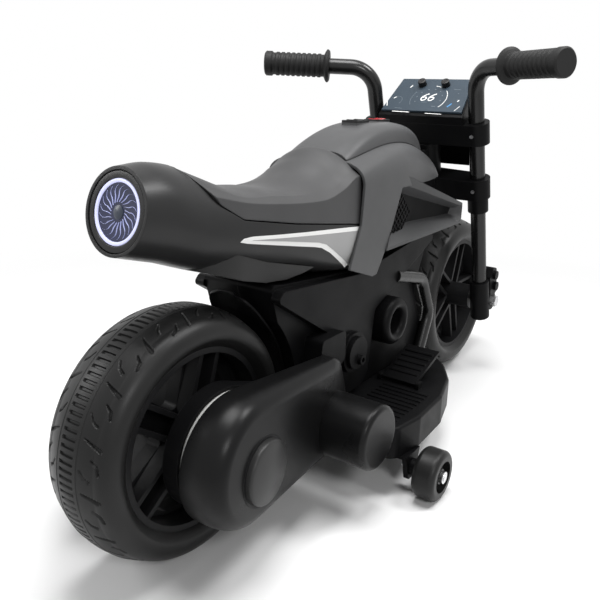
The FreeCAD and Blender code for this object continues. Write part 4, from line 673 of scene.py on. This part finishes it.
def make_covers():
    caps = []
    for node, side in (("drive_cover", -1), ("arm_cover", 1)):
        rows = [[(x, side * COVER_INNER, z) for x, z in belt(0.0)]]
        for step in range(COVER_ROUND_STEPS + 1):
            turn = math.pi / 2 * step / COVER_ROUND_STEPS
            row = []
            for x, z in belt(COVER_ROUND * (1 - math.cos(turn))):
                along, out = leaning(x, 0.0, COVER_LEAN * math.sin(turn))
                row.append((along, side * out, z))
            rows.append(row)
        cover = closed_form(f"{node}_moulding", rows, [SHELL], "chassis", sharp=40.0)
        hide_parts(node)
        caps.append(make_cap(side))
    return caps


def make_cap(side):
    """Domed hub cap on a dark ring, whose colour is painted shadow of the recess round the cap."""
    x, z = CAP_MIDDLE
    shade_ring = ((0.0, CAP_CENTRE_RADIUS), (SHADE_RING_RISE, CAP_SHADE_RING - SHADE_RING_LIP), (SHADE_RING_RISE, CAP_SHADE_RING),
              (SHADE_RING_BACK, CAP_SHADE_RING), (SHADE_RING_BACK, CAP_CENTRE_RADIUS))
    dome = []
    for n in range(CAP_STEPS + 1):
        rise = CAP_CROWN * (1 - (n / CAP_STEPS) ** 2)
        dome.append((CAP_WALL + rise, max(CAP_CENTRE_RADIUS, (CAP_RADIUS - CAP_INSET) * n / CAP_STEPS)))
    dome += [(CAP_WALL - drop, CAP_RADIUS - inset) for drop, inset in CAP_EDGE]
    dome += [(CAP_BACK, CAP_RADIUS), (CAP_BACK, CAP_CENTRE_RADIUS)]

    def place(depth, across, up):
        along, out = leaning(x + across, depth, COVER_LEAN)
        return (along, side * out, z + up)

    hand = "right" if side < 0 else "left"
    # The ring in dark rim plastic is painted shadow round the cap
    points, faces = turned(shade_ring, place)
    add_piece(f"hub_shade_ring_{hand}", points, faces, [RIM], "chassis", sharp=40.0)
    points, faces = turned(dome, place)
    return add_piece(f"hub_cap_{hand}", points, faces, [CAP], "chassis", sharp=50.0)


# Rear fender: a thin tongue round the tyre that flares and narrows to its end, by degrees about the axle
REAR_AXLE = (-302.5, 125.0)
FENDER_FROM = 4.0
FENDER_TO = 58.0
FENDER_ROWS = 40
FENDER_RADIUS = 134.2
FENDER_WALL = 2.6
FENDER_HALF = 34.0
FENDER_END_HALF = 12.0
FENDER_TAPER = 44.0
FENDER_FLARE = 9.0
FENDER_FLARE_POWER = 1.5
FENDER_COLUMNS = 15
FENDER_DROP = 3.0
FENDER_DROP_POWER = 4


def make_fender():
    rows = []
    for n in range(FENDER_ROWS + 1):
        degrees = FENDER_FROM + (FENDER_TO - FENDER_FROM) * n / FENDER_ROWS
        turn = math.radians(degrees)
        share = max(0.0, (degrees - FENDER_TAPER) / (FENDER_TO - FENDER_TAPER))
        half = FENDER_END_HALF + (FENDER_HALF - FENDER_END_HALF) * math.sqrt(max(0.0, 1 - share ** 2))
        base = FENDER_RADIUS + FENDER_FLARE * share ** FENDER_FLARE_POWER
        row = []
        for wall, order in ((FENDER_WALL, range(FENDER_COLUMNS)), (0.0, reversed(range(FENDER_COLUMNS)))):
            for k in order:
                across = 2 * k / (FENDER_COLUMNS - 1) - 1
                radius = base + wall - FENDER_DROP * across ** FENDER_DROP_POWER
                x = REAR_AXLE[0] + radius * math.cos(turn)
                z = REAR_AXLE[1] + radius * math.sin(turn)
                row.append((x, half * across, z))
        rows.append(row)
    fender = closed_form("fender_tongue", rows, [BLACK], "chassis", sharp=40.0)
    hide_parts("rear_fender")


# Panel under the tail: a shallow tub; each row gives its place, then half width and height of both edges
PANEL_ROWS = (
    (-289.0, 13.5, 285.5, 11.0, 284.2),
    (-281.0, 29.8, 290.0, 26.0, 282.0),
    (-272.6, 36.9, 293.0, 36.0, 279.3),
    (-258.6, 44.3, 298.2, 40.5, 274.4),
    (-247.0, 45.0, 294.2, 42.0, 269.9),
    (-215.5, 45.0, 283.0, 43.0, 261.4),
    (-184.4, 48.0, 275.0, 45.0, 258.2),
    (-160.0, 49.6, 268.9, 47.6, 260.2),
    (-143.0, 50.4, 264.6, 50.0, 263.6),
)
PANEL_TUCK = 9.0
PANEL_FALL = 0.6


def make_panel():
    rows = []
    for x, top_y, top_z, low_y, low_z in PANEL_ROWS:
        half = [(x, top_y - PANEL_TUCK, top_z), (x, top_y, top_z), (x, low_y, low_z)]
        half.append((x, low_y - PANEL_TUCK, low_z - PANEL_FALL))
        rows.append(half + [(a, -b, c) for a, b, c in half[::-1]])
    closed_form("tail_underpanel", rows, [LIT_PANEL], "chassis", sharp=25.0)


# Intake scoops: hollows between the tank's side strip and a tip beside the fork, their insides painted black
# as shade
SCOOP_PLACES = (-34.0, 60.0, 147.0, 154.0)
# Each line along the right scoop: side and height at those places along the bike
SCOOP_LINES = (
    ((-69.5, 261.4), (-79.8, 267.5), (-89.3, 273.1), (-90.0, 273.6)),
    ((-69.2, 264.6), (-79.5, 270.6), (-89.0, 276.0), (-90.0, 277.0)),
    ((-52.0, 281.0), (-55.0, 284.0), (-72.0, 285.0), (-90.1, 284.0)),
    ((-52.0, 345.0), (-55.0, 318.0), (-72.0, 294.0), (-90.2, 292.0)),
    ((-56.0, 354.0), (-72.0, 326.0), (-88.6, 298.5), (-90.2, 298.0)),
    ((-58.5, 370.0), (-74.6, 335.6), (-89.2, 303.5), (-90.0, 301.0)),
    ((-44.0, 371.0), (-50.0, 337.0), (-64.0, 305.0), (-70.0, 302.0)),
    ((-44.0, 263.0), (-50.0, 269.0), (-64.0, 274.6), (-70.0, 275.0)),
)
SCOOP_STEPS = 24
# Line of the scoop whose faces take black plastic: painted shade inside the hollow
SCOOP_SHADE_LINE = 2
SCOOP_TIP_ROWS = 2
# Flat faces over the end at the strip, by line, and which of them are painted black as shade
SCOOP_END = ((0, 1, 6, 7), (1, 2, 3, 4), (1, 4, 5, 6))
SCOOP_END_SHADE_LOOKS = (0, 1, 0)
# The strip's front edge: height and place along the bike
STRIP_EDGE = ((237.0, -37.0), (275.0, -13.0), (334.0, 14.0))
STRIP_CLEAR = 0.6
STRIP_ROUNDS = 6


def scoop_row(share):
    """One section of the scoop, a share of the way from the strip to the tip."""
    row = []
    for line in SCOOP_LINES:
        y, z = np.array(line).T
        first = SCOOP_PLACES[0]
        for _ in range(STRIP_ROUNDS):
            height = np.interp(first, SCOOP_PLACES, z)
            first = float(np.interp(height, *np.array(STRIP_EDGE).T)) + STRIP_CLEAR
        x = first + (SCOOP_PLACES[-1] - first) * share
        row.append((x, float(np.interp(x, SCOOP_PLACES, y)), float(np.interp(x, SCOOP_PLACES, z))))
    return row


def make_scoops():
    shares = [n / SCOOP_STEPS for n in range(SCOOP_STEPS)] + [1 - 0.5 / SCOOP_STEPS, 1.0]
    rows = [scoop_row(share) for share in shares]
    columns = len(SCOOP_LINES)
    points = [point for row in rows for point in row]
    faces = grid_faces(len(rows), columns, False, True)
    # Faces along that line, short of the tip, are black plastic as painted shade
    dark = len(faces) - SCOOP_TIP_ROWS * columns
    looks = [1 if n % columns == SCOOP_SHADE_LINE and n < dark else 0 for n in range(len(faces))]
    faces += [*SCOOP_END, tuple(range(len(points) - columns, len(points)))]
    looks += [*SCOOP_END_SHADE_LOOKS, 0]
    for side, hand in HANDS:
        placed = [(x, -side * y, z) for x, y, z in points]
        scoop = add_piece(f"scoop_{hand}", placed, faces, [GREY, BLACK], "chassis",
                          sharp=28.0, face_looks=looks)
        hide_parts(f"intake_{hand}")


# Intake grilles: a plate of diamond holes behind each strip
GRILLE_OUTLINE = ((-10, 276), (44, 282), (52, 298), (34, 324), (8, 330))
GRILLE_START = (-12.0, 272.0)
GRILLE_STEP = 4.5
GRILLE_HOLE = 3.2
GRILLE_FRONT = 61.0
GRILLE_BACK = 59.4
GRILLE_COUNT = 16
GRILLE_CORNERS = ((1, 0), (0, 1), (-1, 0), (0, -1))
GRILLE_NEIGHBOURS = ((1, 1), (-1, 1), (-1, -1), (1, -1))
# Rings of corners round each hole: reach from its middle, and depth
GRILLE_RINGS = ((GRILLE_STEP, GRILLE_FRONT), (GRILLE_HOLE, GRILLE_FRONT),
                (GRILLE_HOLE, GRILLE_BACK), (GRILLE_STEP, GRILLE_BACK))


def inside_outline(x, z, outline):
    """True where a place lies inside an outline that turns to the left."""
    pairs = zip(outline, outline[1:] + outline[:1])
    return all((bx - ax) * (z - az) - (bz - az) * (x - ax) > 0 for (ax, az), (bx, bz) in pairs)


def make_grilles():
    cells = {}
    for column in range(GRILLE_COUNT):
        for level in range(GRILLE_COUNT):
            x = GRILLE_START[0] + column * GRILLE_STEP
            z = GRILLE_START[1] + level * GRILLE_STEP
            if (column + level) % 2 == 0 and inside_outline(x, z, GRILLE_OUTLINE):
                cells[column, level] = (x, z)
    count = len(GRILLE_CORNERS)
    points = []
    faces = []
    for (column, level), (x, z) in cells.items():
        first = len(points)
        for reach, depth in GRILLE_RINGS:
            points += [(x + reach * a, depth, z + reach * b) for a, b in GRILLE_CORNERS]
        for k, (across, up) in enumerate(GRILLE_NEIGHBOURS):
            n = (k + 1) % count
            shared = (column + across, level + up) in cells
            for ring in range(len(GRILLE_RINGS) - shared):
                a = first + count * ring
                b = first + count * ((ring + 1) % len(GRILLE_RINGS))
                faces.append((a + k, a + n, b + n, b + k))
    for side, hand in HANDS:
        placed = [(x, side * y, z) for x, y, z in points]
        grille = add_piece(f"grille_{hand}", placed, faces, [BLACK], "chassis", sharp=30.0)
        if side < 0:
            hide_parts("intake_grilles")


# Tail lamp: a lit ring round a dark field with curved blades, leaning with the tail's end
LAMP_DEPTH = 0.8
BEZEL_PROFILE = ((4.2, 28.0), (0.8, 28.0), (0.1, 28.5), (-0.1, 31.4), (0.1, 33.8), (0.8, 34.3), (4.2, 34.3))
RING_PROFILE = ((4.2, 24.6), (1.3, 24.6), (0.5, 25.0), (0.2, 26.2), (0.5, 27.5), (1.3, 27.9), (4.2, 27.9))
FIELD_PROFILE = ((4.2, 5.2), (2.6, 5.2), (2.4, 14.0), (1.8, 24.5), (4.2, 24.5))
HUB_PROFILE = ((4.2, 0.3), (1.0, 0.3), (1.1, 2.5), (1.5, 4.6), (2.1, 6.0), (4.2, 6.2))
LAMP_PARTS = (("lamp_bezel", BEZEL_PROFILE, KNOB), ("lamp_ring", RING_PROFILE, GLOW),
              ("lamp_field", FIELD_PROFILE, NAVY), ("lamp_hub", HUB_PROFILE, VIOLET))
BLADES = 20
BLADE_INNER = 8.5
BLADE_OUTER = 22.8
BLADE_STEPS = 14
BLADE_SWEEP = 0.50
BLADE_WAVE = 0.07
BLADE_THIN = 0.12
BLADE_FULL = 0.50
BLADE_LEAD = 0.05
BLADE_STRETCH = 1.15
BLADE_EDGE_DEPTH = 3.0
BLADE_RIDGE_DEPTH = 1.5


def lamp_place(depth, side, rise):
    return tuple(TAIL_END + TAIL_AHEAD * (LAMP_DEPTH + depth) + Vector((0, side, 0)) + TAIL_UP * rise)


def lamp_blade(begin):
    """One blade of the lamp: a ridge that sweeps outwards from an angle."""
    points = []
    for n in range(BLADE_STEPS + 1):
        t = n / BLADE_STEPS
        radius = BLADE_INNER + (BLADE_OUTER - BLADE_INNER) * t
        middle = begin + BLADE_SWEEP * t + BLADE_WAVE * math.sin(2 * math.pi * t)
        swell = math.sin(math.pi * min(1, t * BLADE_STRETCH + BLADE_LEAD))
        half = (BLADE_THIN + BLADE_FULL * swell) / radius
        for angle, depth in ((middle - half, BLADE_EDGE_DEPTH), (middle, BLADE_RIDGE_DEPTH),
                             (middle + half, BLADE_EDGE_DEPTH)):
            points.append(lamp_place(depth, radius * math.cos(angle), radius * math.sin(angle)))
    return points, tube_faces(BLADE_STEPS + 1, 3)


def make_tail_lamp():
    for name, profile, look in LAMP_PARTS:
        points, faces = turned(profile, lamp_place)
        piece = add_piece(name, points, faces, [look], "chassis", sharp=40.0)
        if name == "lamp_bezel":
            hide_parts("tail_lens")
        if name == "lamp_field":
            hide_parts("tail_lamp")
    points, faces = join(lamp_blade(2 * math.pi * blade / BLADES) for blade in range(BLADES))
    add_piece("lamp_blades", points, faces, [BLADE], "chassis", sharp=20.0)


# Dash print: thin strokes on the face, drawn as (run up the face, side) in the face's own plane
RAKE_DEGREES = 16.3
FACE_DEGREES = 24.3
RAKE = math.radians(RAKE_DEGREES)
FACE_TILT = math.radians(RAKE_DEGREES + FACE_DEGREES)
FORK_PLACE = Vector((288.4, 0.0, 125.0))
FACE_START = (-15.0, 306.0)
FACE_RISE = 3.0
PRINT_RISE = 0.12
PRINT_SINK = -0.05
DIAL = (29.0, -2.5)
SMALL_DIAL = (23.0, 47.0)
DIGIT_RUN = 24.5
DIGIT_SIDES = (6.0, -5.5)
DIGIT_HEIGHT = 14.5
DIGIT_LEAN = 0.22
DIGIT_STEPS = 6
DIGIT_WIDTH = 1.9
# The digit six, for a height of one
DIGIT_LINE = ((1.0, -0.22), (0.80, 0.06), (0.55, 0.24), (0.30, 0.26), (0.08, 0.14), (0.03, -0.04),
              (0.14, -0.22), (0.32, -0.26), (0.48, -0.16), (0.52, 0.02), (0.44, 0.18))
# Each arc: middle, radius, first and last degrees, steps, and the stroke's width
WHITE_ARCS = ((DIAL, 27.5, 52, 128, 20, 0.9), (DIAL, 26.5, 4, 22, 8, 0.9))
FAINT_ARCS = ((DIAL, 27.5, -120, -60, 20, 0.5), (SMALL_DIAL, 9.0, -20, 130, 20, 0.5))
TICK_DEGREES = range(-110, 101, 30)
TICK_ARCS = tuple((DIAL, 20.0, middle - 3, middle + 3, 2, 1.1) for middle in TICK_DEGREES)
# Each bar: its places, and the stroke's width
WHITE_BARS = (
    (((0.2, 44), (0.0, 30), (-0.4, 16)), 1.3),
    (((-1.4, -9), (-1.9, -22), (-2.3, -35)), 1.0),
    (((5, -51), (10, -53.4), (15, -56)), 1.0),
    (((11.5, 57.3), (16, 59.2), (20.2, 60.8)), 1.2),
    (((51.5, 36.5), (56.5, 33.8)), 1.6),
    (((27.6, 53.4), (30.8, 49.6)), 1.5),
    (((24.2, -48.6), (27.4, -50.4)), 1.6),
)
FAINT_BARS = (
    (((7.6, 42.8), (6.8, 31.2)), 0.6),
    (((49.2, -34.6), (48.9, -45.2)), 0.7),
    (((21.2, 5.8), (21.4, -2.5)), 0.7),
    (((40.2, -44.0), (41.4, -44.6)), 1.2),
    (((13.2, -13.0), (12.8, -19.0)), 0.8),
)
BLUE_BARS = (
    (((12.6, -37.4), (16.0, -39.6), (19.9, -42.0)), 1.8),
)


def dash_place(run, side, rise):
    x, z = FACE_START
    start = Vector((x * math.cos(RAKE) - z * math.sin(RAKE), 0, x * math.sin(RAKE) + z * math.cos(RAKE)))
    ahead = Vector((math.cos(FACE_TILT), 0, math.sin(FACE_TILT)))
    up = Vector((-math.sin(FACE_TILT), 0, math.cos(FACE_TILT)))
    return FORK_PLACE + start + ahead * run + up * (FACE_RISE + rise) + Vector((0, side, 0))


def arc_lines(arcs):
    """Arcs in the face plane; 0 degrees points up the face and the angle grows to the right."""
    lines = []
    for (run, side), radius, begin, end, steps, width in arcs:
        turns = [math.radians(begin + (end - begin) * n / steps) for n in range(steps + 1)]
        line = [(run + radius * math.cos(turn), side - radius * math.sin(turn)) for turn in turns]
        lines.append((line, width))
    return lines


def stroke(line, width):
    """Ribbon of a given width along a line, as a thin closed strip."""
    line = np.array(line, float)
    step = np.gradient(line, axis=0)
    step /= np.hypot(step[:, 0], step[:, 1])[:, None]
    cross = np.stack([-step[:, 1], step[:, 0]], axis=1) * width / 2
    corners = ((1, PRINT_SINK), (1, PRINT_RISE), (-1, PRINT_RISE), (-1, PRINT_SINK))
    points = []
    for p, c in zip(line, cross):
        points += [tuple(dash_place(p[0] + side * c[0], p[1] + side * c[1], rise)) for side, rise in corners]
    return points, tube_faces(len(line), len(corners))


def add_strokes(name, lines, look):
    points, faces = join(stroke(line, width) for line, width in lines)
    add_piece(name, points, faces, [look], "fork", sharp=30.0)


def digit_line(side):
    """The digit's line at its side of the dial, leaning to the right."""
    line = []
    for r, s in DIGIT_LINE:
        rise = r * DIGIT_HEIGHT
        line.append((DIGIT_RUN + rise, side + s * DIGIT_HEIGHT - rise * DIGIT_LEAN))
    return smooth(line, DIGIT_STEPS)


def smooth(line, steps):
    """Finer line through the same places."""
    line = np.array(line, float)
    count = len(line)
    places = np.linspace(0, count - 1, (count - 1) * steps + 1)
    fine = []
    for t in places:
        i = min(int(t), count - 2)
        u = t - i
        p0, p1, p2, p3 = (line[max(0, min(count - 1, i + k))] for k in (-1, 0, 1, 2))
        fine.append(0.5 * (2 * p1 + (p2 - p0) * u + (2 * p0 - 5 * p1 + 4 * p2 - p3) * u * u
                           + (3 * p1 - p0 - 3 * p2 + p3) * u ** 3))
    return fine


def make_dash_print():
    digits = [(digit_line(side), DIGIT_WIDTH) for side in DIGIT_SIDES]
    add_strokes("dash_white", digits + arc_lines(WHITE_ARCS) + list(WHITE_BARS), WHITE)
    add_strokes("dash_faint", arc_lines(FAINT_ARCS + TICK_ARCS) + list(FAINT_BARS), FAINT)
    add_strokes("dash_blue", BLUE_BARS, BLUE)


# Side stripes: laid on the tail by casting from the side, as places along the bike and heights
STRIPE_TOP = ((-258.8, 310.6), (-255.1, 313.3), (-244.5, 313.8), (-210.4, 310.6), (-171.1, 307.3),
              (-106.0, 302.4), (-72.0, 299.3))
STRIPE_LOW = ((-258.8, 310.4), (-249.7, 307.9), (-198.1, 297.7), (-154.2, 289.2), (-143.1, 286.5),
              (-127.1, 278.3), (-105.5, 263.7), (-91.0, 254.0))
INSIDE_TOP = ((-244.2, 310.3), (-202.2, 306.2), (-155.8, 302.0), (-71.8, 294.7))
INSIDE_LOW = ((-244.2, 310.1), (-199.1, 302.4), (-148.8, 293.2), (-135.6, 289.0), (-121.1, 279.8),
              (-100.1, 265.5), (-85.0, 255.2))
STRIPE_RISE = 0.3
STRIPE_SINK = -0.1
STRIPE_ROWS = 18
STRIPE_COLUMNS = 80
CAST_FROM = 200.0
NEAR_SIDE = 60.0
STRIPES = (("stripe_border", STRIPE_TOP, STRIPE_LOW, STRIPE_RISE, WHITE),
           ("stripe_inside", INSIDE_TOP, INSIDE_LOW, 2 * STRIPE_RISE, PALE))


def along_line(line, count):
    """Evenly spread places along a line of points."""
    line = np.array(line, float)
    run = lengths_along(line)
    places = np.linspace(0, run[-1], count)
    return np.stack([np.interp(places, run, line[:, 0]), np.interp(places, run, line[:, 1])], axis=1)


def side_skin(piece):
    mesh = piece.data
    mesh.calc_loop_triangles()
    corners = [v.co / MM for v in mesh.vertices]
    return BVHTree.FromPolygons(corners, [tuple(t.vertices) for t in mesh.loop_triangles])


def lay_on(skin, x, z, side, rise):
    hit, normal, _, _ = skin.ray_cast(Vector((x, side * CAST_FROM, z)), Vector((0, -side, 0)))
    if hit is None:
        hit, normal, _, _ = skin.find_nearest(Vector((x, side * NEAR_SIDE, z)))
    if normal.y * side < 0:
        normal = -normal
    return tuple(hit + normal * rise)


def stripe_patch(skin, side, top, low, rise):
    upper = along_line(top, STRIPE_COLUMNS)
    lower = along_line(low, STRIPE_COLUMNS)
    points = []
    for level in (rise, STRIPE_SINK):
        for n in range(STRIPE_ROWS):
            share = n / (STRIPE_ROWS - 1)
            for a, b in zip(upper, lower):
                x, z = a + (b - a) * share
                points.append(lay_on(skin, x, z, side, level))
    per_level = STRIPE_ROWS * STRIPE_COLUMNS
    sheet = grid_faces(STRIPE_ROWS, STRIPE_COLUMNS, False, False)
    faces = sheet + [tuple(per_level + k for k in face[::-1]) for face in sheet]
    rim = list(range(STRIPE_COLUMNS))
    rim += [r * STRIPE_COLUMNS + STRIPE_COLUMNS - 1 for r in range(1, STRIPE_ROWS)]
    rim += [(STRIPE_ROWS - 1) * STRIPE_COLUMNS + n for n in range(STRIPE_COLUMNS - 2, -1, -1)]
    rim += [r * STRIPE_COLUMNS for r in range(STRIPE_ROWS - 2, 0, -1)]
    for a, b in zip(rim, rim[1:] + rim[:1]):
        faces.append((a, b, per_level + b, per_level + a))
    return points, faces


def make_stripes(tail):
    skin = side_skin(tail)
    for side, hand in HANDS:
        for name, top, low, rise, look in STRIPES:
            points, faces = stripe_patch(skin, side, top, low, rise)
            add_piece(f"{name}_{hand}", points, faces, [look], "chassis", sharp=40.0)


# Floor and soft studio light
FLOOR_DROP = -0.0004
FLOOR_REACH = 9.0
FLOOR_NEAR = 0.50
FLOOR_FAR = 1.25
FLOOR_COLOUR = (0.88, 0.88, 0.88)
FLOOR_GLOSS = (0.85, 0.95)
FLOOR_GLOSS_SCALE = 2.0
PURE_WHITE = (1, 1, 1, 1)
WORLD_STRENGTH = 0.24
BACKDROP_STRENGTH = 1.0
BIKE_MIDDLE = (0.0, 0.0, 0.25)
TAIL_MIDDLE = (-0.3, -0.05, 0.3)
# Each lamp: name, place, aim, size and power in watts
LAMPS = (
    ("overhead", (-0.15, 0.0, 1.8), BIKE_MIDDLE, (1.0, 0.8), 30),
    ("left_rear", (-1.1, 1.3, 1.1), BIKE_MIDDLE, (0.6, 0.8), 10),
    ("camera_side", (-1.1, -1.35, 1.25), BIKE_MIDDLE, (0.4, 0.35), 9),
    ("right_front", (0.5, -0.75, 1.6), TAIL_MIDDLE, (0.45, 0.45), 15),
)


def seen_directly(nodes, links):
    """One for rays from the camera and for mirror and glass rays, zero for light that falls on things."""
    path = nodes.new("ShaderNodeLightPath")
    value = path.outputs["Is Camera Ray"]
    for name in ("Is Glossy Ray", "Is Transmission Ray"):
        value = math_step(nodes, links, "MAXIMUM", value, path.outputs[name])
    return value


def add_white(nodes, kind):
    """Plain white that shines at the backdrop's strength."""
    white = nodes.new(kind)
    white.inputs["Color"].default_value = PURE_WHITE
    white.inputs["Strength"].default_value = BACKDROP_STRENGTH
    return white.outputs[0]


def mix_shaders(nodes, links, share, first, second):
    mix = nodes.new("ShaderNodeMixShader")
    links.new(share, mix.inputs["Fac"])
    links.new(first, mix.inputs[1])
    links.new(second, mix.inputs[2])
    return mix.outputs["Shader"]


def add_floor():
    """Pale floor that keeps the object's shadow and fades to the white backdrop further out."""
    mesh = bpy.data.meshes.new("floor")
    signs = ((-1, -1), (1, -1), (1, 1), (-1, 1))
    corners = [(a * FLOOR_REACH, b * FLOOR_REACH, FLOOR_DROP) for a, b in signs]
    mesh.from_pydata(corners, [], [(0, 1, 2, 3)])
    floor = bpy.data.objects.new("floor", mesh)
    scene.collection.objects.link(floor)
    look, nodes, links, shader = new_material("pale_floor", FLOOR_COLOUR, sum(FLOOR_GLOSS) / 2)
    add_gloss_change(nodes, links, shader, FLOOR_GLOSS, FLOOR_GLOSS_SCALE)
    place = nodes.new("ShaderNodeTexCoord")
    length = nodes.new("ShaderNodeVectorMath")
    length.operation = "LENGTH"
    fade = nodes.new("ShaderNodeMapRange")
    fade.interpolation_type = "SMOOTHSTEP"
    fade.inputs["From Min"].default_value = FLOOR_NEAR
    fade.inputs["From Max"].default_value = FLOOR_FAR
    links.new(place.outputs["Object"], length.inputs[0])
    links.new(length.outputs["Value"], fade.inputs["Value"])
    share = math_step(nodes, links, "MULTIPLY", seen_directly(nodes, links), fade.outputs["Result"])
    white = add_white(nodes, "ShaderNodeEmission")
    mixed = mix_shaders(nodes, links, share, shader.outputs["BSDF"], white)
    links.new(mixed, nodes["Material Output"].inputs["Surface"])
    mesh.materials.append(look)


def add_world():
    world = bpy.data.worlds.new("studio")
    world.use_nodes = True
    scene.world = world
    nodes = world.node_tree.nodes
    links = world.node_tree.links
    back = nodes["Background"]
    back.inputs["Color"].default_value = PURE_WHITE
    back.inputs["Strength"].default_value = WORLD_STRENGTH
    white = add_white(nodes, "ShaderNodeBackground")
    mixed = mix_shaders(nodes, links, seen_directly(nodes, links), back.outputs["Background"], white)
    links.new(mixed, nodes["World Output"].inputs["Surface"])


def add_lamps():
    for name, place, aim, size, power in LAMPS:
        data = bpy.data.lights.new(name, "AREA")
        data.shape = "RECTANGLE"
        data.size = size[0]
        data.size_y = size[1]
        data.energy = power
        lamp = bpy.data.objects.new(name, data)
        lamp.location = place
        lamp.rotation_euler = (Vector(aim) - Vector(place)).to_track_quat("-Z", "Y").to_euler()
        scene.collection.objects.link(lamp)


dress_nodes()
make_tyre("rear_tyre_tread", "rear_tyre", "rear_wheel")
make_tyre("front_tyre_tread", "front_tyre", "front_wheel")
tail = make_tail()
make_seat()
make_bulkhead()
hub_caps = make_covers()
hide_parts("hub_caps")
make_fender()
make_panel()
make_scoops()
make_grilles()
make_tail_lamp()
make_dash_print()
make_stripes(tail)
add_camera()
add_floor()
add_world()
add_lamps()
